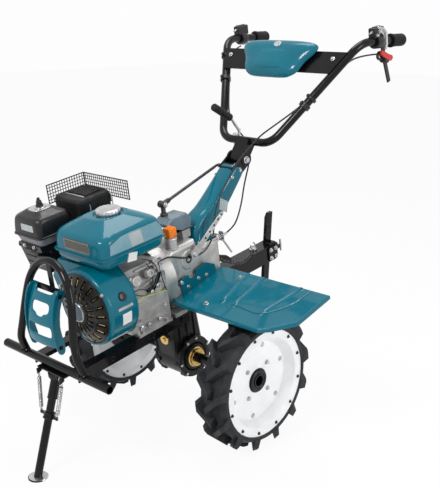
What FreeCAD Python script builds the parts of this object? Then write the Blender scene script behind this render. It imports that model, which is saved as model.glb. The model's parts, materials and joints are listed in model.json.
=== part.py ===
"""Rotary tiller: a walk-behind two-wheel machine, parked on its wheels and its front stand.

Units are millimetres. The finished part stands on z = 0 with +X forward, +Y to the machine's
left and +Z up, and its origin is on the floor under the middle of its length and width.
The machine is drawn level, in a chassis frame whose origin is the middle of the wheel axle.
Each sub-part is then placed on its wheels with the nose down by park_pitch, as it parks.
"""
import FreeCAD, Part
import Sketcher
import math
import os

Vector = FreeCAD.Vector
Rotation = FreeCAD.Rotation

# ---------------------------------------------------------------- driving dimensions
SIZES = [
    # how it stands
    ("park_pitch", 9.0, "nose-down angle when parked on the stand, degrees"),
    ("axle_x", 63.24, "axle ahead of the part's origin"),
    # wheels
    ("wheel_radius", 200.0, "over the lug tips"),
    ("tread_radius", 176.0, "rubber between the lugs"),
    ("tyre_bore", 141.0, "inner radius of the rubber ring"),
    ("rim_radius", 157.0, "outer edge of the bolted flange"),
    ("flange_inner", 132.0, "inner edge of the flat flange"),
    ("dish_radius", 116.0, "edge of the flat dish floor"),
    ("dish_depth", 30.0, "from flange to dish floor"),
    ("rim_face_y", 332.0, "outer face of the outer flange"),
    ("rim_width", 86.0, "over both flanges"),
    ("rim_sheet", 3.0, "dish sheet thickness"),
    ("lug_overhang", 5.0, "lugs and sidewall outside the flanges"),
    ("lug_pairs", 13.0, "lugs on each side of the tread"),
    ("lug_turn", 17.9, "where the first lug stands, degrees"),
    ("tyre_facets", 52.0, "flats round the tyre"),
    ("lug_thick", 20.0, "lug at its tip"),
    ("lug_foot", 8.0, "how much wider a lug is at its root"),
    ("lug_sweep", 15.0, "angle a lug sweeps from crown to shoulder, degrees"),
    ("lug_overlap", 6.0, "lugs reach past the crown line"),
    ("hub_radius", 33.0, "wheel hub tube"),
    ("hub_bore", 15.0, "open end of the hub"),
    ("hub_proud", 2.0, "hub end outside the dish floor"),
    ("hub_flange_radius", 62.0, "hub flange behind the dish"),
    ("hub_flange_thick", 6.0, "hub flange"),
    ("axle_radius", 15.0, "drive axle"),
    ("fit_gap", 0.05, "running clearance of shafts and pins"),
    ("seat_gap", 0.3, "gap between curved seats"),
    # axle gearcase
    ("case_radius", 62.0, "round axle case"),
    ("case_half", 52.0, "half width of the axle case"),
    ("case_leg_front", 84.0, "front edge of the case leg at its top"),
    ("case_leg_rear", -42.0, "rear edge of the case leg at its top"),
    ("case_leg_half", 40.0, "half thickness of the case leg"),
    ("axle_entry", 30.0, "axle inside the case"),
    ("seal_radius", 27.0, "brass seal carrier"),
    ("seal_depth", 14.0, "seal carrier outside the case"),
    # gear housing
    ("housing_front", 105.0, "face that meets the engine"),
    ("housing_rear", -150.0, "rear face"),
    ("housing_bottom", 178.0, "joint with the axle gearcase"),
    ("housing_half", 62.0, "half width"),
    ("housing_top", 365.0, "top of the front chamber"),
    ("housing_step_x", -52.0, "where the top steps down"),
    ("deck_z", 338.0, "deck that carries the column"),
    ("bell_radius", 92.0, "clutch bell"),
    ("bell_depth", 42.0, "clutch bell"),
    ("cover_front", 14.0, "selector cover, front end"),
    ("cover_rear", -78.0, "selector cover, rear end"),
    ("cover_half", 29.0, "selector cover, half width"),
    ("cover_height", 74.0, "selector cover"),
    ("turret_height", 27.0, "raised seat of the selector cover"),
    ("neck_radius", 17.0, "filler neck under the oil cap"),
    ("neck_height", 31.0, "filler neck under the oil cap"),
    ("cap_side", 26.0, "oil filler cap"),
    ("cap_height", 28.0, "oil filler cap"),
    # engine
    ("crank_z", 288.0, "crankshaft above the axle"),
    ("rail_top", 182.0, "upper face of the rails, where the engine stands"),
    ("block_front", 232.0, "crankcase meets the fan housing"),
    ("block_half", 92.0, "crankcase half width"),
    ("block_top", 368.0, "crankcase top"),
    ("block_rib", 6.0, "ribs on the crankcase's left side"),
    ("block_rib_z", 214.0, "lowest rib"),
    ("foot_half", 98.0, "half width over the engine feet"),
    ("foot_thick", 9.0, "engine feet"),
    ("fan_radius", 111.0, "fan housing drum"),
    ("fan_front", 325.0, "front ring of the fan housing"),
    ("fan_wall", 9.0, "front ring width"),
    ("recoil_depth", 22.0, "recoil cover in front of its seat"),
    ("recoil_seat", 16.0, "depth of the seat for the recoil cover"),
    ("emblem_radius", 26.0, "plain centre disc"),
    ("emblem_height", 5.0, "plain centre disc"),
    ("slot_count", 20.0, "slots in each ring of the recoil cover"),
    ("head_angle", 25.0, "cylinder above the horizontal, degrees"),
    ("head_length", 118.0, "cylinder and head beyond the crankcase"),
    ("head_half", 48.0, "cylinder fins, half size"),
    ("fin_count", 8.0, "cooling fins"),
    ("fin_thick", 3.0, "cooling fin"),
    # tank
    ("tank_x", 193.0, "tank centre"),
    ("tank_y", -17.0, "tank centre"),
    ("tank_length", 234.0, "over the seam"),
    ("tank_width", 226.0, "over the seam"),
    ("tank_corner", 26.0, "plan corner radius"),
    ("seam_lip", 5.0, "seam flange"),
    ("seam_thick", 4.0, "seam flange"),
    ("tank_lower", 33.0, "below the seam"),
    ("tank_upper", 79.0, "above the seam"),
    ("tank_foot_inset", 17.0, "bottom of the lower half, inside its walls"),
    ("tank_foot_rise", 14.0, "height at which the lower walls start"),
    ("tank_wall", 42.0, "top of the upper walls, above the seam"),
    ("tank_wall_inset", 6.0, "top of the upper walls, inside the seam line"),
    ("tank_shoulder", 60.0, "shoulder, above the seam"),
    ("tank_shoulder_inset", 20.0, "shoulder, inside the seam line"),
    ("tank_slope", 72.0, "upper slope, above the seam"),
    ("tank_slope_inset", 44.0, "upper slope, inside the seam line"),
    ("tank_crown_inset", 62.0, "flat crown, inside the seam line"),
    ("cap_recess", 5.0, "depth of the round recess for the fuel cap"),
    ("cap_margin", 6.0, "recess round the fuel cap"),
    ("cap_x", 186.0, "fuel cap"),
    ("cap_y", -13.0, "fuel cap"),
    ("tank_gap", 0.3, "pad between tank and fan housing"),
    ("filler_radius", 36.0, "fuel cap"),
    ("filler_height", 18.0, "fuel cap"),
    # air cleaner and muffler
    ("duct_inset", 54.0, "intake duct inside the cleaner's rear edge"),
    ("carburettor_radius", 15.0, "carburettor throat"),
    ("cleaner_x", 262.0, "air cleaner centre"),
    ("cleaner_y", -220.0, "air cleaner centre"),
    ("cleaner_length", 126.0, "along the machine"),
    ("cleaner_width", 132.0, "across the machine"),
    ("cleaner_z", 452.0, "bottom edge"),
    ("cleaner_height", 68.0, "box"),
    ("cleaner_round", 12.0, "box edges"),
    ("cleaner_wall", 54.0, "top of the box walls, above the bottom edge"),
    ("cleaner_slope_inset", 26.0, "flat top, inside the walls"),
    ("plate_half", 30.0, "clamp plate on the air cleaner, half size"),
    ("tray_height", 22.0, "tray under the air cleaner"),
    ("duct_height", 84.0, "intake duct under the tray"),
    ("duct_drop", 42.0, "carburettor below the tray"),
    ("knob_radius", 11.0, "wing nut"),
    ("muffler_front", 190.0, "muffler"),
    ("muffler_rear", 66.0, "muffler"),
    ("muffler_gap", 6.0, "between tank and muffler"),
    ("muffler_width", 126.0, "muffler"),
    ("stub_inset", 14.0, "exhaust stub from the muffler's left side"),
    ("stub_radius", 13.0, "exhaust stub"),
    ("muffler_z", 452.0, "muffler bottom"),
    ("muffler_height", 74.0, "muffler"),
    ("muffler_round", 22.0, "muffler edges"),
    ("louvre_count", 7.0, "pressed louvres on the heat guard"),
    ("muffler_cap", 42.0, "plain front end of the muffler, ahead of the louvres"),
    ("cage_margin", 8.0, "cage outside the muffler"),
    ("cage_top", 557.0, "top of the wire cage"),
    ("cage_bottom", 502.0, "lower wire of the cage"),
    ("cage_length", 138.0, "screen beside the muffler"),
    ("cage_width", 200.0, "screen behind the muffler"),
    ("cage_wire", 2.4, "wire"),
    ("cage_pitch", 25.0, "spacing of the main wires"),
    # frame
    ("rail_outer", 97.0, "outer face of the rails"),
    ("rail_width", 32.0, "rail flange"),
    ("rail_height", 30.0, "rail web"),
    ("rail_thick", 4.0, "rail section"),
    ("rail_rear", 40.0, "rear end of the rails"),
    ("brace_x", 172.0, "cross brace"),
    ("brace_width", 26.0, "cross brace"),
    ("bar_x", 449.0, "front crossbar"),
    ("bar_z", 177.0, "front crossbar"),
    ("bar_length", 450.0, "front crossbar"),
    ("bar_radius", 12.0, "front crossbar"),
    ("bar_wall", 2.5, "front crossbar"),
    ("hoop_radius", 10.5, "bumper hoop tube"),
    ("hoop_foot_y", 126.0, "hoop feet"),
    ("hoop_low_x", 464.0, "lower bend of the hoop"),
    ("hoop_low_y", 124.0, "lower bend of the hoop"),
    ("hoop_low_z", 234.0, "lower bend of the hoop"),
    ("hoop_mid_x", 432.0, "upper leg of the hoop"),
    ("hoop_mid_y", 98.0, "upper leg of the hoop"),
    ("hoop_mid_z", 352.0, "upper leg of the hoop"),
    ("hoop_top_x", 406.0, "top of the hoop"),
    ("hoop_top_y", 50.0, "shoulders of the hoop"),
    ("hoop_top_z", 453.0, "top of the hoop"),
    ("guard_half", 56.0, "half width of the front guard"),
    ("guard_top_x", 432.0, "upper edge of the guard"),
    ("guard_top_z", 392.0, "upper edge of the guard"),
    ("guard_mid_x", 466.0, "bulge of the guard"),
    ("guard_mid_z", 326.0, "bulge of the guard"),
    ("guard_low_x", 476.0, "lower edge of the guard"),
    ("guard_low_z", 250.0, "lower edge of the guard"),
    ("guard_depth", 30.0, "side flanges of the guard"),
    ("guard_sheet", 3.0, "guard sheet"),
    ("window_half", 36.0, "lower guard window, half width"),
    ("window_top_half", 31.0, "upper guard window, half width"),
    ("window_low_z", 280.0, "lower edge of the lower window"),
    ("window_mid_z", 306.0, "upper edge of the lower window"),
    ("window_high_z", 334.0, "lower edge of the upper window"),
    ("window_top_z", 360.0, "upper edge of the upper window"),
    ("slot_low_z", 318.0, "small slot between the windows"),
    ("slot_top_z", 328.0, "small slot between the windows"),
    ("slot_half", 15.0, "small slot, half width"),
    ("strap_x", 408.5, "rear face of the straps"),
    ("strap_thick", 4.0, "straps behind the guard"),
    ("strap_width", 18.0, "straps behind the guard"),
    # front stand
    ("stand_x", 453.0, "stand pivot"),
    ("stand_z", 142.0, "stand pivot"),
    ("stand_lean", 25.0, "leg ahead of the chassis vertical, degrees"),
    ("leg_radius", 11.0, "stand leg tube"),
    ("sleeve_radius", 13.5, "sleeve on the leg"),
    ("sleeve_length", 58.0, "sleeve on the leg"),
    ("stand_pin", 5.0, "pivot pin radius"),
    ("foot_radius", 26.0, "foot disc"),
    ("foot_plate", 4.0, "foot disc"),
    ("collar_drop", 100.0, "spring collar below the pivot"),
    ("spring_radius", 6.0, "tension spring"),
    ("hook_spread", 34.0, "spring hooks on the leg, from the middle"),
    ("spring_spread", 50.0, "spring eyes from the middle"),
    ("bracket_half", 58.0, "half length of the stand bracket"),
    ("ear_gap", 15.0, "inside face of the stand ears"),
    ("ear_thick", 4.0, "stand ears"),
    # fenders
    ("fender_inner", 70.0, "inner edge"),
    ("fender_outer", 466.0, "outer edge"),
    ("fender_front", 76.0, "front edge"),
    ("fender_rear", -142.0, "rear edge"),
    ("fender_z", 222.0, "front edge, upper face"),
    ("fender_lean", 7.3, "rises to the rear, degrees"),
    ("fender_sheet", 3.0, "fender sheet"),
    ("fender_lip", 12.0, "folded rim"),
    ("fender_cut_x", 74.0, "front corner cut, along"),
    ("fender_cut_y", 78.0, "front corner cut, across"),
    ("flange_height", 44.0, "inner flange"),
    ("boss_front", 65.0, "front boss for the fender, behind its front edge"),
    ("boss_rear", 150.0, "rear boss for the fender, behind its front edge"),
    ("boss_up", 20.0, "bosses above the fender's upper face"),
    ("boss_radius", 9.0, "bosses for the fenders"),
    ("rib_width", 9.0, "pressed rib"),
    ("rib_height", 3.0, "pressed rib"),
    ("rib_start", 60.0, "ribs start behind the fender's front edge"),
    ("rib_end", 214.0, "ribs end behind the fender's front edge"),
    ("rib_inner", 139.0, "first rib, from the fender's inner edge"),
    ("rib_inner_drift", -28.0, "first rib, at its rear end"),
    ("rib_outer", 181.0, "second rib, from the fender's inner edge"),
    ("rib_outer_drift", -12.0, "second rib, at its rear end"),
    ("bead_outer", 278.0, "bead along the outer side, from the inner edge"),
    ("bead_outer_drift", 26.0, "bead along the outer side, at its rear end"),
    # column and head
    ("column_half", 34.0, "half width"),
    ("column_round", 14.0, "long edges"),
    ("column_foot_x", -108.0, "middle of the foot"),
    ("column_foot_half", 42.0, "half length of the foot"),
    ("column_foot_rise", 46.0, "flared foot above the deck"),
    ("column_flare_draft", 22.0, "foot sides lean in, degrees"),
    ("column_knee_back", 22.0, "front knee, behind the foot's middle"),
    ("column_knee_rise", 66.0, "front knee above the deck"),
    ("column_heel_back", 106.0, "rear knee, behind the foot's middle"),
    ("column_heel_rise", 48.0, "rear knee above the deck"),
    ("column_top_x", -269.0, "upper corner of the end face"),
    ("column_top_z", 508.0, "upper corner of the end face"),
    ("column_low_x", -312.0, "lower corner of the end face"),
    ("column_low_z", 484.0, "lower corner of the end face"),
    ("column_flare", 52.0, "half width at the foot"),
    ("pivot_x", -334.0, "handlebar pivot"),
    ("pivot_z", 520.0, "handlebar pivot"),
    ("pivot_radius", 7.0, "pivot bolt"),
    ("cheek_inner", 24.0, "inside of the head cheeks"),
    ("cheek_thick", 6.0, "head cheeks"),
    ("cheek_radius", 24.0, "head cheeks"),
    # handlebar
    ("socket_radius", 18.0, "socket round the pivot and the tube"),
    ("lever_x", -698.0, "hand levers on the tube"),
    ("stop_lever_width", 14.0, "flat stop lever"),
    ("tube_radius", 12.5, "handlebar tube"),
    ("base_x", -376.0, "handlebar base"),
    ("base_z", 566.0, "handlebar base"),
    ("base_half", 98.0, "handlebar base corners"),
    ("bend_x", -622.0, "upper bend"),
    ("bend_y", 268.0, "upper bend"),
    ("bend_z", 826.0, "upper bend"),
    ("grip_x", -833.0, "grip ends"),
    ("grip_y", 276.0, "grip ends"),
    ("grip_z", 797.3, "grip ends"),
    ("grip_length", 66.0, "grips"),
    ("grip_radius", 19.5, "grips"),
    ("dash_low_x", -541.0, "lower edge of the cross plate, on the tube"),
    ("dash_top_x", -592.0, "upper edge of the cross plate, on the tube"),
    ("dash_sheet", 3.0, "cross plate"),
    ("cover_mould_rise", 36.0, "moulded cover in front of the cross plate"),
    ("cover_top_half", 150.0, "moulded cover, half width at its upper corners"),
    ("cover_low_half", 75.0, "moulded cover, half width at its lower edge"),
    ("cover_top", 98.0, "upper edge of the moulded cover, above the plate's lower edge"),
    ("cover_low", 31.0, "lower edge of the moulded cover, below the plate's lower edge"),
    # rear hitch and stake
    ("hitch_z", 176.0, "hitch bracket, middle"),
    ("hitch_half", 26.0, "hitch bracket, half width"),
    ("hitch_height", 54.0, "hitch bracket"),
    ("hitch_wall", 5.0, "hitch bracket"),
    ("hitch_pin", 8.0, "hitch pin bore radius"),
    ("hitch_bore_x", -360.0, "hitch pin bore"),
    ("stake_x", -424.0, "depth stake at the bracket"),
    ("stake_lean", 12.0, "stake leans back at the top, degrees"),
    ("stake_width", 26.0, "stake"),
    ("stake_thick", 12.0, "stake"),
    ("stake_top", 128.0, "stake above the bracket"),
    ("stake_drop", 190.0, "stake below the bracket"),
    # controls
    ("rod_radius", 4.0, "shift rod"),
    ("shaft_x", -12.0, "selector shaft"),
    ("shaft_y", -14.0, "selector shaft"),
    ("shaft_height", 34.0, "selector shaft above its cover"),
    ("lever_y", 50.0, "gear lever, right of the middle"),
    ("lever_low_x", 6.0, "lower end of the gear lever's grip, ahead of the handlebar's base"),
    ("lever_low_z", 68.0, "lower end of the gear lever's grip, above the handlebar's base"),
    ("lever_top_x", 75.0, "upper end of the gear lever's grip, ahead of the handlebar's base"),
    ("lever_top_z", 119.0, "upper end of the gear lever's grip, above the handlebar's base"),
    ("knob_grip_radius", 11.0, "gear lever grip"),
    ("cable_radius", 2.5, "control cables"),
    ("cable_play", 0.3, "between a cable and the tube it is clipped to"),
    ("cable_margin", 1.5, "between a cable and what it only passes"),
]

# ---------------------------------------------------------------- the sheet and its sizes
doc = FreeCAD.newDocument("rotary_tiller")
sheet = doc.addObject("Spreadsheet::Sheet", "Sizes")
for row, (alias, value, meaning) in enumerate(SIZES, start=1):
    sheet.set(f"A{row}", alias)
    sheet.set(f"B{row}", str(value))
    sheet.set(f"C{row}", meaning)
    sheet.setAlias(f"B{row}", alias)
doc.recompute()


class Size:
    """A number that also knows the sheet expression it comes from."""

    def __init__(self, value, text):
        self.value = float(value)
        self.text = text

    def _join(self, other, sign, swapped=False):
        other = size_of(other)
        left, right = (other, self) if swapped else (self, other)
        a, b = left.value, right.value
        value = {"+": a + b, "-": a - b, "*": a * b, "/": a / b if b else 0.0}[sign]
        return Size(value, f"({left.text} {sign} {right.text})")

    def __add__(self, other):
        return self._join(other, "+")

    def __radd__(self, other):
        return self._join(other, "+", swapped=True)

    def __sub__(self, other):
        return self._join(other, "-")

    def __rsub__(self, other):
        return self._join(other, "-", swapped=True)

    def __mul__(self, other):
        return self._join(other, "*")

    def __rmul__(self, other):
        return self._join(other, "*", swapped=True)

    def __truediv__(self, other):
        return self._join(other, "/")

    def __neg__(self):
        return self._join(-1.0, "*")

    def __float__(self):
        return self.value

    def root(self):
        return Size(math.sqrt(self.value), f"sqrt({self.text})")

    def sine(self):
        return Size(math.sin(math.radians(self.value)), f"sin({self.text} * 1deg)")

    def cosine(self):
        return Size(math.cos(math.radians(self.value)), f"cos({self.text} * 1deg)")


def size_of(thing):
    return thing if isinstance(thing, Size) else Size(thing, repr(float(thing)))


class Sheet:
    """Sizes by name: S.wheel_radius is the cell with that alias."""

    def __getattr__(self, alias):
        return Size(float(sheet.get(alias)), f"Sizes.{alias}")


S = Sheet()


def bind(thing, prop, size):
    thing.setExpression(prop, size_of(size).text)


# ---------------------------------------------------------------- making things
nodes = []
QUARTER_BULGE = 1.0 - math.sqrt(0.5)
STRAIGHT = 1e-4

AXES = {"X": Vector(1, 0, 0), "Y": Vector(0, 1, 0), "Z": Vector(0, 0, 1)}
ALONG = {"X": Rotation(Vector(0, 1, 0), 90), "Y": Rotation(Vector(1, 0, 0), -90), "Z": Rotation()}


def on_wheels(thing, pitched=True, at=(0.0, 0.0), lean=0.0):
    """Place a finished sub-part: its own origin goes to the point (x, z) of the chassis."""
    pitch = S.park_pitch if pitched else size_of(0)
    x, z = [size_of(a) for a in at]
    turn = math.radians(float(pitch))
    base = Vector(float(S.axle_x) + float(x) * math.cos(turn) + float(z) * math.sin(turn), 0,
                  float(S.wheel_radius) - float(x) * math.sin(turn) + float(z) * math.cos(turn))
    thing.Placement = FreeCAD.Placement(base, Rotation(AXES["Y"], float(pitch + lean)))
    if thing.TypeId != "Part::Feature":
        angle = f"({pitch.text} * 1deg)"
        along = f"{S.axle_x.text} + {x.text} * cos{angle} + {z.text} * sin{angle}"
        up = f"{S.wheel_radius.text} - {x.text} * sin{angle} + {z.text} * cos{angle}"
        thing.setExpression("Placement.Base.x", along)
        thing.setExpression("Placement.Base.z", up)
        if pitched:
            bind(thing, "Placement.Rotation.Angle", pitch + lean)
    nodes.append(thing)
    return thing


def new_body(label):
    body = doc.addObject("PartDesign::Body", label)
    body.Label = label
    return body


def axis_of(body, role):
    return ([f for f in body.Origin.OriginFeatures if f.Role == role + "_Axis"][0], [""])


def plane_of(body, role):
    return [f for f in body.Origin.OriginFeatures if f.Role == role + "_Plane"][0]


def sketch_on(body, plane, height, shapes):
    """A sketch whose outlines and circles hang on the sheet; height is along the plane's axis."""
    name = f"{body.Label}_sketch{len(body.Group)}"
    sketch = body.newObject("Sketcher::SketchObject", name)
    sketch.AttachmentSupport = (plane_of(body, plane), [""])
    sketch.MapMode = "FlatFace"
    offset = -size_of(height) if plane == "XZ" else size_of(height)
    sketch.AttachmentOffset = FreeCAD.Placement(Vector(0, 0, float(offset)), Rotation())
    bind(sketch, "AttachmentOffset.Base.z", offset)
    for shape in shapes:
        if isinstance(shape, tuple):
            draw_circle(sketch, *shape)
        else:
            draw_outline(sketch, shape)
    return sketch


def hold(sketch, kind, arguments, size):
    row = sketch.addConstraint(Sketcher.Constraint(kind, *arguments, float(size)))
    bind(sketch, f"Constraints[{row}]", size)


def draw_circle(sketch, u, v, radius):
    index = sketch.addGeometry(Part.Circle(Vector(float(u), float(v), 0), AXES["Z"], float(radius)))
    hold(sketch, "Radius", (index,), radius)
    hold(sketch, "DistanceX", (-1, 1, index, 3), size_of(u))
    hold(sketch, "DistanceY", (-1, 1, index, 3), size_of(v))


def draw_outline(sketch, points):
    """A closed outline; a point (u, v) starts a line, (u, v, bulge) an arc bulging to its right."""
    first = sketch.GeometryCount
    total = len(points)
    for i in range(total):
        a = points[i]
        b = points[(i + 1) % total]
        start = Vector(float(a[0]), float(a[1]), 0)
        end = Vector(float(b[0]), float(b[1]), 0)
        if len(a) == 3:
            sketch.addGeometry(Part.Arc(start, arc_middle(start, end, float(a[2])), end))
        else:
            sketch.addGeometry(Part.LineSegment(start, end))
    ends = [arc_ends(sketch, first + i, points[i]) for i in range(total)]
    for i in range(total):
        after = (i + 1) % total
        pair = (first + i, ends[i][1], first + after, ends[after][0])
        sketch.addConstraint(Sketcher.Constraint("Coincident", *pair))
        hold(sketch, "DistanceX", (-1, 1, first + i, ends[i][0]), size_of(points[i][0]))
        hold(sketch, "DistanceY", (-1, 1, first + i, ends[i][0]), size_of(points[i][1]))
        if len(points[i]) == 3:
            a, b = points[i], points[after]
            across, up, bulge = size_of(b[0]) - a[0], size_of(b[1]) - a[1], size_of(a[2])
            half = ((across * across + up * up) / 4.0).root()
            shift = (bulge * bulge - half * half) / (bulge * half * 4.0)
            if abs(float(up)) > abs(float(across)):
                hold(sketch, "DistanceX", (-1, 1, first + i, 3), across / 2.0 + a[0] + up * shift)
            else:
                hold(sketch, "DistanceY", (-1, 1, first + i, 3), up / 2.0 + a[1] - across * shift)


def arc_middle(start, end, bulge):
    chord = end.sub(start)
    side = Vector(chord.y, -chord.x, 0).normalize()
    return start.add(end).multiply(0.5).add(side.multiply(bulge))


def arc_ends(sketch, index, point):
    """Point numbers of a segment's start and end; arcs run anticlockwise, so some are swapped."""
    if len(point) < 3:
        return (1, 2)
    begins = sketch.getPoint(index, 1)
    here = Vector(float(point[0]), float(point[1]), 0)
    return (1, 2) if begins.distanceToPoint(here) < 1e-6 else (2, 1)


def pad(body, plane, shapes, start, end, draft=None):
    """A prism between two heights on the plane's axis."""
    sketch = sketch_on(body, plane, start, shapes)
    feature = body.newObject("PartDesign::Pad", sketch.Name + "_pad")
    feature.Profile = sketch
    feature.Length = float(size_of(end) - start)
    bind(feature, "Length", size_of(end) - start)
    feature.Reversed = plane == "XZ"
    if draft is not None:
        feature.TaperAngle = float(draft)
        bind(feature, "TaperAngle", draft)
    finish_feature(body, feature)
    return feature


def pocket(body, plane, shapes, start, end, draft=None):
    """Cuts a prism between two heights on the plane's axis."""
    before = body.Shape.Volume
    sketch = sketch_on(body, plane, start if plane == "XZ" else end, shapes)
    feature = body.newObject("PartDesign::Pocket", sketch.Name + "_pocket")
    feature.Profile = sketch
    feature.Length = float(size_of(end) - start)
    bind(feature, "Length", size_of(end) - start)
    if draft is not None:
        feature.TaperAngle = float(draft)
    finish_feature(body, feature)
    if not body.Shape.Volume < before:
        raise ValueError(f"{feature.Name} cuts nothing")
    return feature


def finish_feature(body, feature):
    body.Tip = feature
    doc.recompute()
    if "Invalid" in feature.State or "Error" in feature.State or feature.Shape.isNull():
        raise ValueError(f"{body.Label}: {feature.Name} failed: {feature.getStatusString()}")


def revolve(body, plane, shapes, axis):
    sketch = sketch_on(body, plane, 0, shapes)
    feature = body.newObject("PartDesign::Revolution", sketch.Name + "_revolution")
    feature.Profile = sketch
    feature.ReferenceAxis = (sketch, [axis])
    feature.Angle = 360
    finish_feature(body, feature)
    return feature


def edges_where(feature, chosen):
    return [f"Edge{i}" for i, edge in enumerate(feature.Shape.Edges, start=1) if chosen(edge)]


def fillet(body, radius, chosen, kind="Fillet"):
    base = body.Tip
    names = edges_where(base, chosen)
    feature = body.newObject("PartDesign::" + kind, base.Name + "_" + kind.lower())
    feature.Base = (base, names)
    prop = "Radius" if kind == "Fillet" else "Size"
    setattr(feature, prop, float(radius))
    bind(feature, prop, radius)
    finish_feature(body, feature)
    return feature


def repeat(body, feature, axis, count, angle=None, length=None):
    """Repeats a feature round an axis, or along it."""
    kind = "PolarPattern" if length is None else "LinearPattern"
    pattern = body.newObject("PartDesign::" + kind, feature.Name + "_repeat")
    pattern.Originals = [feature]
    if length is None:
        pattern.Axis = axis
        pattern.Angle = 360 if angle is None else float(angle)
    else:
        pattern.Direction = axis
        pattern.Length = float(length)
        bind(pattern, "Length", length)
    pattern.Occurrences = int(float(count))
    bind(pattern, "Occurrences", count)
    finish_feature(body, pattern)
    return pattern


def loft(body, plane, levels):
    """A ruled solid through outlines of equal make at rising heights."""
    sketches = [sketch_on(body, plane, height, [outline]) for height, outline in levels]
    feature = body.newObject("PartDesign::AdditiveLoft", sketches[0].Name + "_loft")
    feature.Profile = sketches[0]
    feature.Sections = sketches[1:]
    feature.Ruled = True
    finish_feature(body, feature)
    return feature


def is_straight(edge):
    ends = edge.Vertexes
    return len(ends) == 2 and abs(ends[0].Point.distanceToPoint(ends[1].Point) - edge.Length) < 1e-6


def runs_along(edge, axis):
    if not is_straight(edge):
        return False
    return abs(abs(edge.tangentAt(edge.FirstParameter).dot(AXES[axis])) - 1) < 1e-4


def primitive(kind, label, at, turn=None, **sizes):
    """A Part primitive whose sizes and place hang on the sheet."""
    thing = doc.addObject("Part::" + kind, label)
    thing.Label = label
    thing.Placement = FreeCAD.Placement(Vector(*[float(a) for a in at]), turn or Rotation())
    for name, size in sizes.items():
        setattr(thing, name, float(size))
        bind(thing, name, size)
    for name, size in zip("xyz", at):
        bind(thing, "Placement.Base." + name, size)
    return thing


def box(label, low, high):
    low = [size_of(a) for a in low]
    high = [size_of(a) for a in high]
    length, width, height = [b - a for a, b in zip(low, high)]
    return primitive("Box", label, low, Length=length, Width=width, Height=height)


def rod(label, axis, centre, radius, start, end):
    """A cylinder along X, Y or Z between two places on that axis."""
    at = [size_of(a) for a in centre]
    at["XYZ".index(axis)] = size_of(start)
    return primitive("Cylinder", label, at, ALONG[axis], Radius=radius, Height=size_of(end) - start)


def fuse(label, parts):
    thing = doc.addObject("Part::MultiFuse", label)
    thing.Label = label
    thing.Shapes = parts
    return thing


def cut(label, base, tools):
    tool = tools[0] if len(tools) == 1 else fuse(label + "_tools", tools)
    thing = doc.addObject("Part::Cut", label)
    thing.Label = label
    thing.Base = base
    thing.Tool = tool
    return thing


def feature(label, shape):
    """For forms that no sketch or primitive gives: bent tubes, lugs and folded sheets."""
    thing = doc.addObject("Part::Feature", label)
    thing.Label = label
    thing.Shape = shape
    return thing


def vec(x, y, z):
    return Vector(float(x), float(y), float(z))


def tube_path(points, bends):
    """Straight runs joined by tangent arcs; bends holds one radius for each inner point."""
    edges = []
    here = points[0]
    for i in range(1, len(points) - 1):
        into = points[i].sub(points[i - 1]).normalize()
        out = points[i + 1].sub(points[i]).normalize()
        turn = into.getAngle(out)
        if turn < STRAIGHT:
            continue
        set_back = bends[i - 1] * math.tan(turn / 2)
        start = points[i].sub(into * set_back)
        end = points[i].add(out * set_back)
        inward = out.sub(into).normalize()
        middle = points[i].add(inward * (bends[i - 1] / math.cos(turn / 2) - bends[i - 1]))
        if start.distanceToPoint(here) > 1e-6:
            edges.append(Part.LineSegment(here, start).toShape())
        edges.append(Part.Arc(start, middle, end).toShape())
        here = end
    edges.append(Part.LineSegment(here, points[-1]).toShape())
    return Part.Wire(edges)


def round_bar(points, bends, radius, label=None):
    """A solid round bar along a bent path."""
    path = tube_path(points, bends)
    into = points[1].sub(points[0]).normalize()
    ring = Part.Wire([Part.Circle(points[0], into, float(radius)).toShape()])
    solid = path.makePipeShell([ring], True, True)
    solid = solid if solid.isValid() else solid.removeSplitter()
    ideal = math.pi * float(radius) ** 2 * path.Length
    if abs(solid.Volume) < 0.97 * ideal or abs(solid.Volume) > 1.03 * ideal:
        raise ValueError(f"{label}: bent bar has volume {solid.Volume:.0f}, not {ideal:.0f}")
    return solid


def cable_bends(points):
    """Radii as large as the runs allow, so that a cable has no tight corners."""
    radii = []
    for i in range(1, len(points) - 1):
        into = points[i].sub(points[i - 1])
        out = points[i + 1].sub(points[i])
        turn = max(into.getAngle(out), STRAIGHT)
        radii.append(0.45 * min(into.Length, out.Length) / math.tan(turn / 2))
    return radii


def cylinder_between(start, end, radius):
    return Part.makeCylinder(float(radius), end.sub(start).Length, start, end.sub(start))


def mirrored_y(shape):
    return shape.mirror(Vector(0, 0, 0), AXES["Y"])


SIDES = (("left", 1.0), ("right", -1.0))


def between(side, inner, outer):
    """Two places on Y in rising order, from distances off the middle."""
    return (size_of(inner), size_of(outer)) if side > 0 else (-size_of(outer), -size_of(inner))

# ---------------------------------------------------------------- wheels
def rim_outline():
    """Two dished steel discs back to back on a hub barrel, drawn as radius and distance out."""
    t = S.rim_sheet
    face = S.rim_face_y
    back = face - S.rim_width
    floor = face - S.dish_depth
    rear_floor = back + S.dish_depth
    barrel = S.hub_radius + S.fit_gap
    return [
        (barrel, floor), (S.dish_radius, floor), (S.flange_inner, face), (S.rim_radius, face),
        (S.rim_radius, face - t), (S.flange_inner + t, face - t), (S.dish_radius + t, floor - t),
        (barrel + t, floor - t), (barrel + t, rear_floor + t), (S.dish_radius + t, rear_floor + t),
        (S.flange_inner + t, back + t), (S.rim_radius, back + t), (S.rim_radius, back),
        (S.flange_inner, back), (S.dish_radius, rear_floor), (barrel, rear_floor),
    ]


def make_rim(name, side):
    body = new_body("rim_" + name)
    outline = [(r, y * side) for r, y in rim_outline()]
    revolve(body, "XY", [outline], "V_Axis")
    on_wheels(body, pitched=False)


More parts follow.
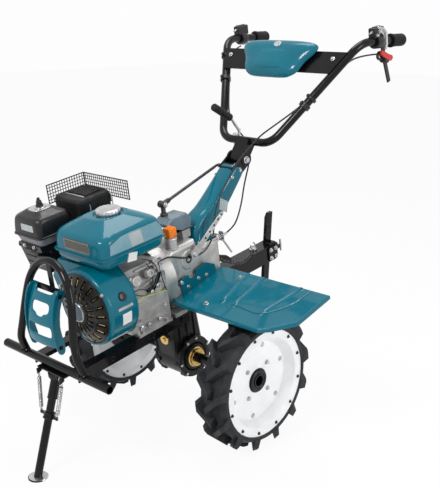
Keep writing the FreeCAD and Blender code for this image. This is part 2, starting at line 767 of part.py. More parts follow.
def ring_of_flats(profile, facets):
    """A ring of flat faces: the profile's radii and heights, repeated round the Y axis."""
    rings = []
    for i in range(facets):
        turn = 2 * math.pi * i / facets
        rings.append([Vector(r * math.cos(turn), y, r * math.sin(turn)) for r, y in profile])
    faces = []
    for i in range(facets):
        here, there = rings[i], rings[(i + 1) % facets]
        for k in range(len(profile)):
            after = (k + 1) % len(profile)
            corners = [here[k], here[after], there[after], there[k]]
            faces.append(Part.Face(Part.makePolygon(corners + corners[:1])))
    solid = Part.makeSolid(Part.makeShell(faces))
    if solid.Volume < 0:
        solid.reverse()
    return solid


def tyre_carcass():
    """The rubber ring: flat where the flanges clamp it, a low crown between the shoulders."""
    face = float(S.rim_face_y - S.rim_sheet)
    back = float(S.rim_face_y - S.rim_width + S.rim_sheet)
    out = float(S.rim_face_y + S.lug_overhang - 1.0)
    inner = float(S.rim_face_y - S.rim_width - S.lug_overhang + 1.0)
    bore, tread = float(S.tyre_bore + 2.0), float(S.tread_radius)
    rim = float(S.rim_radius + S.seat_gap)
    low = tread - 8.0
    profile = [(bore, back), (rim, back), (rim, inner), (low, inner), (tread, inner + 14.0),
               (tread, out - 14.0), (low, out), (rim, out), (rim, face), (bore, face)]
    return ring_of_flats(profile, int(float(S.tyre_facets)))


def lug_shape(outward, phase):
    """One slanted lug from past the crown line to the shoulder and down the sidewall."""
    middle = float(S.rim_face_y - S.rim_width / 2.0)
    reach = float(S.rim_width / 2.0 + S.lug_overhang)
    tip, root = float(S.wheel_radius), float(S.tread_radius) - 6.0
    thick, foot, sweep = float(S.lug_thick), float(S.lug_foot), float(S.lug_sweep)

    def section(y, angle, high, low):
        corners = []
        for radius, width, way in ((high, thick, -1), (high, thick, 1), (low, thick + foot, 1),
                                   (low, thick + foot, -1)):
            turn = math.radians(angle) + way * width / 2 / radius
            corners.append(Vector(radius * math.cos(turn), y, radius * math.sin(turn)))
        return corners

    start = section(middle - outward * float(S.lug_overlap), phase, tip, root)
    knee = section(middle + outward * (reach - 9.0), phase + sweep * 0.88, tip, root)
    end = section(middle + outward * reach, phase + sweep, tip - 9.0, float(S.rim_radius) + 7.0)
    triangles = [(start[0], start[1], start[2]), (start[0], start[2], start[3]),
                 (end[0], end[2], end[1]), (end[0], end[3], end[2])]
    for a, b in ((start, knee), (knee, end)):
        for i in range(4):
            k = (i + 1) % 4
            triangles += [(a[i], b[i], b[k]), (a[i], b[k], a[k])]
    faces = [Part.Face(Part.makePolygon([p, q, r, p])) for p, q, r in triangles]
    solid = Part.makeSolid(Part.makeShell(faces))
    if solid.Volume < 0:
        solid.reverse()
    return solid


def make_tyre(name, side):
    step = 360.0 / float(S.lug_pairs)
    turn = float(S.lug_turn)
    lugs = []
    for i in range(int(float(S.lug_pairs))):
        lugs.append(lug_shape(1, turn + i * step))
        lugs.append(lug_shape(-1, turn + (i + 0.5) * step))
    shape = tyre_carcass().fuse(lugs)
    if side < 0:
        shape = mirrored_y(shape)
    on_wheels(feature("tyre_" + name, shape), pitched=False)


def make_hub(name, side):
    """The drive axle with the hub tube and the flange that the dish is bolted to."""
    floor = S.rim_face_y - S.dish_depth
    rear_floor = S.rim_face_y - S.rim_width + S.dish_depth
    end = floor + S.hub_proud
    out = between(side, S.case_half - S.axle_entry, rear_floor)
    shaft = rod("axle_shaft_" + name, "Y", (0, 0, 0), S.axle_radius, *out)
    tube = rod("hub_tube_" + name, "Y", (0, 0, 0), S.hub_radius, *between(side, rear_floor - 34.0, end))
    flange = rod("hub_flange_" + name, "Y", (0, 0, 0), S.hub_flange_radius,
                 *between(side, rear_floor - S.hub_flange_thick, rear_floor))
    bore = rod("hub_bore_" + name, "Y", (0, 0, 0), S.hub_bore, *between(side, end - 24.0, end + 1.0))
    whole = fuse("hub_blank_" + name, [shaft, tube, flange])
    on_wheels(cut("hub_" + name, whole, [bore]), pitched=False)


# ---------------------------------------------------------------- axle case and gear housing
def make_axle_gearcase():
    """Cast leg from the gear housing down to a round case round the axle, bored for both axles."""
    body = new_body("axle_gearcase")
    r = S.case_radius
    leg = [(S.case_leg_front, S.housing_bottom), (S.case_leg_rear, S.housing_bottom),
           (-r * 0.92, size_of(10)), (-r * 0.5, -r * 0.5), (r * 0.5, -r * 0.5), (r * 0.96, size_of(12))]
    half = S.case_leg_half
    pad(body, "XZ", [leg], -half, half)
    fillet(body, 12.0, lambda e: is_straight(e) and not runs_along(e, "Y")
           and abs(abs(e.BoundBox.YMin) - float(half)) < 1e-3 and e.BoundBox.ZMin < float(S.housing_bottom) - 1)
    pad(body, "XZ", [(size_of(0), size_of(0), r)], -S.case_half, S.case_half)
    bore = S.axle_radius + S.fit_gap
    pocket(body, "XZ", [(size_of(0), size_of(0), bore)], -S.case_half - 1.0, S.case_half + 1.0)
    on_wheels(body)


def make_axle_seals():
    rings = []
    for name, side in SIDES:
        out = between(side, S.case_half, S.case_half + S.seal_depth)
        ring = rod("seal_ring_" + name, "Y", (0, 0, 0), S.seal_radius, *out)
        hole = rod("seal_hole_" + name, "Y", (0, 0, 0), S.axle_radius + S.fit_gap, *out)
        rings.append(cut("seal_" + name, ring, [hole]))
    on_wheels(fuse("axle_seals", rings))


def fender_point(x, z):
    """From the fender's own leaning frame into the chassis frame."""
    lean = S.fender_lean
    along = S.fender_front + x * lean.cosine() + z * lean.sine()
    up = S.fender_z - x * lean.sine() + z * lean.cosine()
    return along, up


def filler_place():
    """Where the oil filler stands, beside the selector cover."""
    return S.cover_front - 2.0 + S.cap_side / 2.0, S.cover_half + S.seat_gap + S.cap_side / 2.0


def make_gear_housing():
    """Cast housing: clutch bell at the front, stepped top, feet on the rails."""
    body = new_body("gear_housing")
    front = S.housing_front - S.bell_depth
    outline = [(front + 6.0, S.housing_bottom), (front + 6.0, S.housing_top - 12.0),
               (front - 20.0, S.housing_top),
               (S.housing_step_x, S.housing_top), (S.housing_step_x - 10.0, S.deck_z), (S.housing_rear,
                                                                                        S.deck_z),
               (S.housing_rear, S.housing_bottom + 74.0), (S.case_leg_rear - 56.0, S.housing_bottom)]
    half = S.housing_half
    pad(body, "XZ", [outline], -half, half)
    fillet(body, 14.0, lambda e: is_straight(e) and not runs_along(e, "Y")
           and abs(abs(e.BoundBox.YMin) - float(half)) < 1e-3 and e.BoundBox.ZMin > float(S.housing_bottom) + 1)
    pad(body, "YZ", [(size_of(0), S.crank_z, S.bell_radius)], front, S.housing_front)
    low = S.rail_top
    foot = [(-S.rail_outer, low), (S.rail_outer, low), (S.rail_outer, low + 12.0),
            (-S.rail_outer, low + 12.0)]
    pad(body, "YZ", [foot], S.rail_rear + 4.0, S.rail_rear + 52.0)
    for back in (S.boss_front, S.boss_rear):
        boss = (*fender_point(-back, S.boss_up), S.boss_radius)
        pad(body, "XZ", [boss], -S.fender_inner, S.fender_inner)
    inside = S.cover_half - 3.0
    turret = [(S.cover_rear + 8.0, -inside), (S.cover_front - 52.0, -inside), (S.cover_front - 52.0, inside),
              (S.cover_rear + 8.0, inside)]
    pad(body, "XY", [turret], S.housing_top - 1.0, S.housing_top + S.turret_height)
    pad(body, "XY", [(*filler_place(), S.neck_radius)], S.housing_top - 1.0, S.housing_top + S.neck_height)
    on_wheels(body)


def make_selector_cover():
    """Wedge-shaped cover whose front end juts out over the housing."""
    body = new_body("selector_cover")
    low = S.housing_top + S.turret_height
    top = S.housing_top + S.cover_height
    outline = [(S.cover_front - 52.0, low), (S.cover_front + 4.0, low + 24.0), (S.cover_front + 8.0, low + 34.0),
               (S.cover_front - 16.0, top), (S.cover_rear + 16.0, top), (S.cover_rear, low + 28.0),
               (S.cover_rear + 8.0, low)]
    pad(body, "XZ", [outline], -S.cover_half, S.cover_half)
    fillet(body, 5.0, lambda e: is_straight(e) and e.BoundBox.ZMin > float(low) + 1)
    on_wheels(body)


def make_filler_cap():
    half = S.cap_side / 2.0
    low = S.housing_top + S.neck_height
    x, y = filler_place()
    body = new_body("oil_filler_cap")
    square = [(x - half, y - half), (x + half, y - half), (x + half, y + half), (x - half, y + half)]
    pad(body, "XY", [square], low + S.cap_height * 0.25, low + S.cap_height)
    pad(body, "XY", [(x, y, half * 0.9)], low, low + S.cap_height * 0.5)
    on_wheels(body)


# ---------------------------------------------------------------- engine
def make_crankcase():
    """Cast block on two feet, with ribs along its left side."""
    body = new_body("engine_crankcase")
    half, top, low = S.block_half, S.block_top, S.rail_top
    foot = low + S.foot_thick
    outline = [(-half, foot), (-S.foot_half, foot), (-S.foot_half, low), (S.foot_half, low),
               (S.foot_half, foot),
               (half, foot), (half, top - 34.0), (half - 30.0, top), (-half + 24.0, top), (-half, top - 24.0)]
    pad(body, "YZ", [outline], S.housing_front, S.block_front)
    rib = [(half - 1.0, S.block_rib_z), (half + S.block_rib, S.block_rib_z),
           (half + S.block_rib, S.block_rib_z + 4.0),
           (half - 1.0, S.block_rib_z + 4.0)]
    first = pad(body, "YZ", [rib], S.housing_front + 6.0, S.block_front - 6.0)
    repeat(body, first, axis_of(body, "Z"), size_of(4), length=top - S.block_rib_z - 60.0)
    on_wheels(body)


def head_frame(thing):
    """Turns a shape drawn with the cylinder along -Y so that it points up and to the right."""
    thing.rotate(vec(0, 0, S.crank_z), AXES["X"], -float(S.head_angle))
    return thing


def head_box(grow=0.0):
    x = (float(S.housing_front) + float(S.block_front)) / 2
    half = float(S.head_half) + grow
    start = float(S.block_half) * 0.5
    reach = float(S.block_half) + float(S.head_length)
    low = vec(x - half, -reach - grow, float(S.crank_z) - half)
    return head_frame(Part.makeBox(2 * half, reach - start + 2 * grow, 2 * half, low))


def make_cylinder_head():
    """Finned cylinder leaning to the right, with the rocker cover at its end."""
    x = (float(S.housing_front) + float(S.block_front)) / 2
    half = float(S.head_half)
    z = float(S.crank_z)
    reach = float(S.block_half + S.head_length)
    core_half = half - 12.0
    pieces = [Part.makeBox(2 * core_half, reach - 60.0, 2 * core_half,
                           Vector(x - core_half, -reach + 22.0, z - core_half))]
    count = int(float(S.fin_count))
    first, last = -reach + 30.0, -float(S.block_half) - 8.0
    for i in range(count):
        y = first + (last - first) * i / max(count - 1, 1)
        pieces.append(Part.makeBox(2 * half, float(S.fin_thick), 2 * half, Vector(x - half, y, z - half)))
    cover = Part.makeBox(2 * core_half + 8, 26.0, 2 * core_half + 8,
                         Vector(x - core_half - 4, -reach, z - core_half - 4))
    pieces.append(cover.makeFillet(7.0, [e for e in cover.Edges if e.BoundBox.YMax < -reach + 20.0]))
    shape = head_frame(pieces[0].fuse(pieces[1:]))
    keep = float(S.block_half) + float(S.seat_gap)
    far = reach * 2.0
    block = Part.makeBox(2 * far, keep + far, 2 * far, Vector(x - far, -keep, z - far))
    on_wheels(feature("cylinder_head", shape.cut(block)))


def make_fan_housing():
    """Pressed drum with a rounded front ring, a cowl towards the cylinder and a recoil seat."""
    body = new_body("fan_housing")
    z, r = S.crank_z, S.fan_radius
    pad(body, "YZ", [(size_of(0), z, r)], S.block_front, S.fan_front)
    cowl = [(size_of(-30), z - r * 0.62), (size_of(0), z), (size_of(-20), z + r - 2.0),
            (size_of(-128), z + r - 2.0),
            (size_of(-168), z + 48.0), (size_of(-150), z + 6.0)]
    pad(body, "YZ", [cowl], S.block_front, S.fan_front - 30.0)
    fillet(body, 10.0, lambda e: not is_straight(e) and e.BoundBox.XMin > float(S.fan_front) - 1e-3)
    pocket(body, "YZ", [(size_of(0), z, r - S.fan_wall)], S.fan_front - S.recoil_seat, S.fan_front + 1.0)
    on_wheels(body)


def make_recoil_cover():
    """Domed cover with two rings of slots and a plain centre disc, drawn round the crankshaft."""
    body = new_body("recoil_cover")
    r = S.fan_radius - S.fan_wall - S.seat_gap
    back = S.fan_front - S.recoil_seat
    front = S.fan_front + S.recoil_depth
    nose = front + S.emblem_height
    outline = [(back, size_of(0)), (back, r), (S.fan_front - 2.0, r), (front - 6.0, r * 0.72),
               (front, r * 0.5),
               (front, S.emblem_radius), (nose, S.emblem_radius - 3.0), (nose, size_of(0))]
    revolve(body, "XZ", [outline], "H_Axis")
    for low, high, width in ((0.36, 0.60, 7.0), (0.68, 0.92, 9.0)):
        half = size_of(width / 2)
        slot = [(-half, r * low), (half, r * low), (half, r * high), (-half, r * high)]
        first = pocket(body, "YZ", [slot], back + 6.0, front + 12.0)
        repeat(body, first, axis_of(body, "X"), S.slot_count)
    on_wheels(body, at=(size_of(0), S.crank_z))


# ---------------------------------------------------------------- fuel tank
def rounded(centre_x, centre_y, length, width):
    """A rectangle in plan."""
    x0, x1 = centre_x - length / 2.0, centre_x + length / 2.0
    y0, y1 = centre_y - width / 2.0, centre_y + width / 2.0
    return [(x0, y0), (x1, y0), (x1, y1), (x0, y1)]


def round_plan(centre_x, centre_y, length, width, radius):
    """A rectangle in plan with rounded corners."""
    x0, x1 = centre_x - length / 2.0, centre_x + length / 2.0
    y0, y1 = centre_y - width / 2.0, centre_y + width / 2.0
    r = size_of(radius)
    bulge = r * QUARTER_BULGE
    return [(x0 + r, y0), (x1 - r, y0, bulge), (x1, y0 + r), (x1, y1 - r, bulge),
            (x1 - r, y1), (x0 + r, y1, bulge), (x0, y1 - r), (x0, y0 + r, bulge)]


def tank_plan(inset, corner):
    """The tank's outline in plan, inset from the seam line."""
    line = S.seam_lip + inset
    length, width = S.tank_length - line * 2.0, S.tank_width - line * 2.0
    return round_plan(S.tank_x, S.tank_y, length, width, corner)


def make_fuel_tank():
    """Two pressed halves: a shallow lower half, the seam flange, and an upper half with a crown."""
    body = new_body("fuel_tank")
    low = S.crank_z + S.fan_radius + S.tank_gap
    seam = low + S.tank_lower
    rise = seam + S.seam_thick
    top = rise + S.tank_upper
    corner = S.tank_corner
    zero = size_of(0)
    loft(body, "XY", [
        (low, tank_plan(S.tank_foot_inset, corner)),
        (low + S.tank_foot_rise, tank_plan(zero, corner)),
        (rise, tank_plan(zero, corner)),
        (rise + S.tank_wall, tank_plan(S.tank_wall_inset, corner)),
        (rise + S.tank_shoulder, tank_plan(S.tank_shoulder_inset, corner)),
        (rise + S.tank_slope, tank_plan(S.tank_slope_inset, corner)),
        (top, tank_plan(S.tank_crown_inset, corner)),
    ])
    pad(body, "XY", [tank_plan(-S.seam_lip, corner + S.seam_lip)], seam, rise)
    recess = (S.cap_x, S.cap_y, S.filler_radius + S.cap_margin)
    pocket(body, "XY", [recess], top - S.cap_recess, top + 1.0)
    on_wheels(body)


def make_fuel_cap():
    """Pressed cap with a scalloped skirt, in the recess of the tank's crown."""
    body = new_body("fuel_cap")
    low = S.crank_z + S.fan_radius + S.tank_gap + S.tank_lower + S.seam_thick + S.tank_upper - S.cap_recess
    high = low + S.filler_height
    r = S.filler_radius
    outline = [(size_of(0), low), (r, low), (r, low + S.filler_height * 0.55),
               (r * 0.84, low + S.filler_height * 0.85), (r * 0.55, high), (size_of(0), high)]
    revolve(body, "XZ", [outline], "V_Axis")
    scallop = (r + 4.0, size_of(0), size_of(6.0))
    first = pocket(body, "XY", [scallop], low - 1.0, low + S.filler_height * 0.7)
    repeat(body, first, axis_of(body, "Z"), size_of(12))
    on_wheels(body, at=(S.cap_x, size_of(0)))
    body.Placement.Base.y = float(S.cap_y)
    bind(body, "Placement.Base.y", S.cap_y)


# ---------------------------------------------------------------- air cleaner and muffler
def cleaner_plan(inset):
    length, width = S.cleaner_length - inset * 2.0, S.cleaner_width - inset * 2.0
    return round_plan(S.cleaner_x, S.cleaner_y, length, width, S.cleaner_round)


def make_air_cleaner():
    """Moulded cover with sloping shoulders, a clamp plate and a wing nut on top."""
    body = new_body("air_cleaner")
    low = S.cleaner_z
    top = low + S.cleaner_height
    loft(body, "XY", [
        (low, cleaner_plan(size_of(0))), (low + S.cleaner_wall, cleaner_plan(size_of(3))),
        (top, cleaner_plan(S.cleaner_slope_inset)),
    ])
    plate = rounded(S.cleaner_x, S.cleaner_y, S.plate_half * 2.0, S.plate_half * 2.0)
    pad(body, "XY", [plate], top - 1.0, top + 3.0)
    pad(body, "XY", [(S.cleaner_x, S.cleaner_y, S.knob_radius * 0.9)], top + 2.0, top + 14.0)
    wing = rounded(S.cleaner_x, S.cleaner_y, S.knob_radius * 1.6, size_of(7.0))
    pad(body, "XY", [wing], top + 8.0, top + 30.0)
    on_wheels(body)


def make_intake():
    """Tray under the air cleaner, and below it the black duct with the carburettor."""
    low = S.cleaner_z
    under = low - S.tray_height
    bottom = under - S.duct_height
    rear = S.cleaner_x - S.cleaner_length / 2.0 + S.duct_inset
    front = S.cleaner_x + S.cleaner_length / 2.0 - 4.0
    right = S.cleaner_y - S.cleaner_width / 2.0 + 16.0
    left = S.cleaner_y + S.cleaner_width / 2.0 - 12.0
    tray = new_body("intake_duct")
    loft(tray, "XY", [(under, cleaner_plan(size_of(12))), (low, cleaner_plan(size_of(5)))])
    on_wheels(tray)
    body = new_body("carburettor")
    side = [(rear, bottom), (front - 22.0, bottom), (front, under), (rear, under)]
    pad(body, "XZ", [side], right, left)
    head_front = (S.housing_front + S.block_front) / 2.0 + S.head_half
    y, z = left - 2.0, under - S.duct_drop
    pad(body, "YZ", [(y, z, S.carburettor_radius)], head_front + S.seat_gap, rear)
    bowl = (head_front + 20.0, y, S.carburettor_radius - 1.0)
    pad(body, "XY", [bowl], z - 26.0, z - 4.0)
    on_wheels(body)


def muffler_sides():
    """The muffler's right and left sides; it stands beside the tank."""
    left = S.tank_y - S.tank_width / 2.0 - S.muffler_gap
    return left - S.muffler_width, left


def make_muffler():
    """Box muffler with rounded edges, pressed louvres on top and a stub down to the cylinder."""
    body = new_body("muffler_shell")
    low = S.muffler_z
    top = low + S.muffler_height
    right, left = muffler_sides()
    plan = [(S.muffler_rear, right), (S.muffler_front, right), (S.muffler_front, left),
            (S.muffler_rear, left)]
    pad(body, "XY", [plan], low, top)
    fillet(body, S.muffler_round, lambda e: runs_along(e, "Z"))
    fillet(body, S.muffler_round * 0.5, lambda e: e.BoundBox.ZMin > float(top) - 1e-3)
    inset = S.muffler_round + 2.0
    back, front = S.muffler_rear + inset, S.muffler_front - S.muffler_cap
    louvre = [(back, right + inset), (front, right + inset), (front, right + inset + 7.0),
              (back, right + inset + 7.0)]
    first = pad(body, "XY", [louvre], top - 2.0, top + 4.0)
    repeat(body, first, axis_of(body, "Y"), S.louvre_count, length=S.muffler_width - inset * 2.0 - 7.0)
    middle = (S.muffler_rear + S.muffler_front) / 2.0 + 16.0
    pad(body, "XY", [(middle, left - S.stub_inset, S.stub_radius)], low - 60.0, low + 6.0)
    head = feature("muffler_head_clearance", head_box(float(S.seat_gap)))
    on_wheels(cut("muffler", body, [head]))


def wire_panel(origin, along, up, length, height, wire, pitch):
    """A wire screen as one sheet: a frame with a grid of square openings."""
    across = max(int(round(length / pitch)), 1)
    rows = max(int(round(height / pitch)), 1)
    wide, high = (length - wire) / across, (height - wire) / rows
    corners = [origin, origin + along * length, origin + along * length + up * height, origin + up * height]
    sheet_face = Part.Face(Part.makePolygon(corners + corners[:1]))
    holes = []
    for i in range(across):
        for k in range(rows):
            low = origin + along * (wire + i * wide) + up * (wire + k * high)
            right, rise = along * (wide - wire), up * (high - wire)
            ring = [low, low + right, low + right + rise, low + rise]
            holes.append(Part.Face(Part.makePolygon(ring + ring[:1])))
    return sheet_face.cut(Part.makeCompound(holes)).extrude(along.cross(up) * wire)


def make_cage():
    """Wire guard: a screen beside the muffler and one behind it, on two feet."""
    wire, pitch = float(S.cage_wire), float(S.cage_pitch)
    rear = float(S.muffler_rear - S.cage_margin)
    front = rear + float(S.cage_length)
    shell_right = float(muffler_sides()[0])
    right = shell_right - float(S.cage_margin)
    width = float(S.cage_width)
    low, high = float(S.cage_bottom), float(S.cage_top)
    side = wire_panel(Vector(rear, right, low), AXES["X"], AXES["Z"], front - rear, high - low, wire, pitch)
    back = wire_panel(Vector(rear, right, low), AXES["Y"], AXES["Z"], width, high - low, wire, pitch)
    pieces = [back, Part.makeBox(wire * 2, width, wire * 2, Vector(rear, right, high - wire * 2))]
    for share in (0.35, 0.8):
        x = rear + share * float(S.muffler_front - S.muffler_rear)
        reach = shell_right - right
        pieces.append(Part.makeBox(12, reach, wire, Vector(x, right, low)))
    on_wheels(feature("muffler_cage", side.fuse(pieces)))


# ---------------------------------------------------------------- frame, bumper and guard
def bar_hole(label, axis_half, grow):
    return rod(label, "Y", (S.bar_x, 0, S.bar_z), S.bar_radius + grow, -axis_half, axis_half)


def make_rails():
    """Two angle-section rails, joined by a brace, coped at the front for the crossbar."""
    pieces = []
    top, t = S.rail_top, S.rail_thick
    for name, side in SIDES:
        flange = between(side, S.rail_outer - S.rail_width, S.rail_outer)
        web = between(side, S.rail_outer - t, S.rail_outer)
        pieces.append(box("rail_flange_" + name, (S.rail_rear, flange[0], top - t),
                          (S.bar_x, flange[1], top)))
        pieces.append(box("rail_web_" + name, (S.rail_rear, web[0], top - S.rail_height),
                          (S.bar_x, web[1], top)))
    inner = S.rail_outer - t
    pieces.append(box("rail_brace", (S.brace_x, -inner, top - S.rail_height),
                      (S.brace_x + S.brace_width, inner, top - 22.0)))
    blank = fuse("rails_blank", pieces)
    on_wheels(cut("engine_rails", blank, [bar_hole("rails_cope", S.rail_outer + 10.0, S.seat_gap)]))


def make_crossbar():
    half = S.bar_length / 2.0
    bar = rod("crossbar_tube", "Y", (S.bar_x, 0, S.bar_z), S.bar_radius, -half, half)
    bore = rod("crossbar_bore", "Y", (S.bar_x, 0, S.bar_z), S.bar_radius - S.bar_wall, -half - 1.0,
               half + 1.0)
    on_wheels(cut("front_crossbar", bar, [bore]))


def make_hoop():
    """Bent tube standing on the crossbar, with the flat straps behind the guard welded on."""
    side = [vec(S.bar_x, S.hoop_foot_y, S.bar_z), vec(S.hoop_low_x, S.hoop_low_y, S.hoop_low_z),
            vec(S.hoop_mid_x, S.hoop_mid_y, S.hoop_mid_z), vec(S.hoop_top_x, S.hoop_top_y, S.hoop_top_z)]
    other = [Vector(p.x, -p.y, p.z) for p in reversed(side)]
    bends = [45.0, 70.0, 34.0, 34.0, 70.0, 45.0]
    hoop = round_bar(side + other, bends, S.hoop_radius, "bumper_hoop")
    half_bar = float(S.bar_length) / 2.0
    cope = Part.makeCylinder(float(S.bar_radius + S.seat_gap), 2 * half_bar,
                             vec(S.bar_x, -half_bar, S.bar_z), AXES["Y"])
    back, t, w = float(S.strap_x), float(S.strap_thick), float(S.strap_width)
    level = float(S.guard_top_z) - 4.0
    reach = float(S.hoop_mid_y) - 14.0
    across = Part.makeBox(t, 2 * reach, w, Vector(back, -reach, level - w))
    rise = Part.makeBox(t, w, float(S.hoop_top_z) - level, Vector(back, -w / 2, level - 1.0))
    on_wheels(feature("bumper_hoop", hoop.cut(cope).fuse([across, rise])))


def make_guard():
    """Bulged front plate with two windows, a slot and side flanges that meet the strap."""
    body = new_body("front_guard")
    front = [(S.guard_top_x, S.guard_top_z), (S.guard_mid_x, S.guard_mid_z), (S.guard_low_x, S.guard_low_z)]
    outline = front + [(x - S.guard_depth, z) for x, z in reversed(front)]
    half, t = S.guard_half, S.guard_sheet
    pad(body, "XZ", [outline], -half, half)
    fillet(body, 34.0, lambda e: runs_along(e, "Y") and abs(e.BoundBox.ZMin - float(S.guard_mid_z)) < 1e-3)
    deep = S.guard_depth * 2.7
    inside = [(S.guard_top_x - t, S.guard_top_z + 1.0), (S.guard_mid_x - t, S.guard_mid_z),
              (S.guard_low_x - t, S.guard_low_z - 1.0), (S.guard_low_x - deep, S.guard_low_z - 1.0),
              (S.guard_top_x - deep, S.guard_top_z + 1.0)]
    pocket(body, "XZ", [inside], -half + t, half - t)

    def window(low_half, top_half, low_z, top_z):
        return [(-low_half, low_z), (low_half, low_z), (top_half, top_z), (-top_half, top_z)]
    windows = [window(S.window_half, S.window_half, S.window_low_z, S.window_mid_z),
               window(S.slot_half, S.slot_half, S.slot_low_z, S.slot_top_z),
               window(S.window_top_half, S.window_top_half * 0.9, S.window_high_z, S.window_top_z)]
    pocket(body, "YZ", windows, S.guard_top_x - 20.0, S.guard_low_x + 40.0)
    back = S.strap_x + S.strap_thick
    level = S.guard_top_z - 4.0
    notch = [(back - 60.0, level - S.strap_width - 2.0), (back, level - S.strap_width - 2.0),
             (back, S.guard_top_z + 1.0), (back - 60.0, S.guard_top_z + 1.0)]
    pocket(body, "XZ", [notch], -half - 1.0, half + 1.0)
    on_wheels(body)


# ---------------------------------------------------------------- front stand
def make_stand_bracket():
    """Plate under the crossbar with two ears, the pivot pin and a hook for each spring."""
    top = S.bar_z - S.bar_radius - S.seat_gap
    low = top - S.ear_thick
    body = new_body("stand_bracket")
    x0, x1 = S.stand_x - 15.0, S.stand_x + 16.0
    half = S.bracket_half
    pad(body, "XY", [[(x0, -half), (x1, -half), (x1, half), (x0, half)]], low, top)
    ear = [(S.stand_x - 12.0, low + 1.0), (S.stand_x - 12.0, S.stand_z, 12.0), (S.stand_x + 12.0, S.stand_z),
           (S.stand_x + 12.0, low + 1.0)]
    for name, side in SIDES:
        pad(body, "XZ", [ear], *between(side, S.ear_gap, S.ear_gap + S.ear_thick))
        hook = between(side, S.spring_spread - 2.0, S.spring_spread + 2.0)
        tab = [(x1 - 6.0, low + 1.0), (x1 + 8.0, low + 1.0), (x1 + 8.0, low - 14.0), (x1 - 6.0, low - 10.0)]
        pad(body, "XZ", [tab], *hook)
    pin_half = S.ear_gap + S.ear_thick + 4.0
    pad(body, "XZ", [(S.stand_x, S.stand_z, S.stand_pin)], -pin_half, pin_half)
    on_wheels(body)


def stand_direction():
    lean = math.radians(float(S.stand_lean))
    return Vector(math.sin(lean), 0, -math.cos(lean))


def floor_frame(shape):
    """From the level frame under the wheels into the chassis frame, which is pitched nose down."""
    shape.translate(Vector(0, 0, -float(S.wheel_radius)))
    shape.rotate(Vector(0, 0, 0), AXES["Y"], -float(S.park_pitch))
    return shape


def make_stand_leg():
    """Eye, sleeve, leg with its spring collar, and the round foot flat on the floor."""
    pivot = vec(S.stand_x, 0, S.stand_z)
    down = stand_direction()
    turn = math.radians(float(S.park_pitch))
    pivot_z = float(S.wheel_radius) - pivot.x * math.sin(turn) + pivot.z * math.cos(turn)
    fall = -(down.z * math.cos(turn) - down.x * math.sin(turn))
    length = (pivot_z - float(S.foot_plate) / 2) / fall
    toe = pivot + down * length
    ahead = toe.x * math.cos(turn) + toe.z * math.sin(turn)
    eye_half = float(S.ear_gap) - 1.0
    eye = Part.makeCylinder(float(S.sleeve_radius), 2 * eye_half, pivot - AXES["Y"] * eye_half, AXES["Y"])
    sleeve = Part.makeCylinder(float(S.sleeve_radius), float(S.sleeve_length), pivot, down)
    leg = Part.makeCylinder(float(S.leg_radius), length, pivot, down)
    keep = Part.makeBox(2 * length, length, 2 * length, Vector(ahead - length, -length / 2,
                                                               float(S.foot_plate) / 2))
    foot = Part.makeCylinder(float(S.foot_radius), float(S.foot_plate), Vector(ahead, 0, 0), AXES["Z"])
    collar_at = pivot + down * float(S.collar_drop)
    collar = Part.makeCylinder(float(S.leg_radius) + 4.0, 12.0, collar_at, down)
    hook_half = float(S.hook_spread) + 3.0
    hooks = Part.makeBox(5.0, 2 * hook_half, 8.0, Vector(-2.5, -hook_half, -4.0))
    hooks.rotate(Vector(0, 0, 0), AXES["Y"], -float(S.stand_lean))
    hooks.translate(collar_at + down * 6.0)
    shape = eye.fuse([sleeve, leg.common(floor_frame(keep)), floor_frame(foot), collar, hooks])
    bore = Part.makeCylinder(float(S.stand_pin + S.fit_gap), 2 * eye_half + 2,
                             pivot - AXES["Y"] * (eye_half + 1), AXES["Y"])
    on_wheels(feature("stand_leg", shape.cut(bore)))


def make_stand_springs():
    """Two tension springs from the bracket's hooks down to the collar on the leg."""
    collar_at = vec(S.stand_x, 0, S.stand_z) + stand_direction() * float(S.collar_drop + 6.0)
    springs = []
    for name, side in SIDES:
        top = vec(S.stand_x + 20.0, float(S.spring_spread) * side, S.stand_z + 2.0)
        low = collar_at + Vector(0, side * float(S.hook_spread), 0)
        run = low.sub(top).normalize()
        springs.append(cylinder_between(top, low - run * 5.0, S.spring_radius))
    on_wheels(feature("stand_springs", Part.makeCompound(springs)))


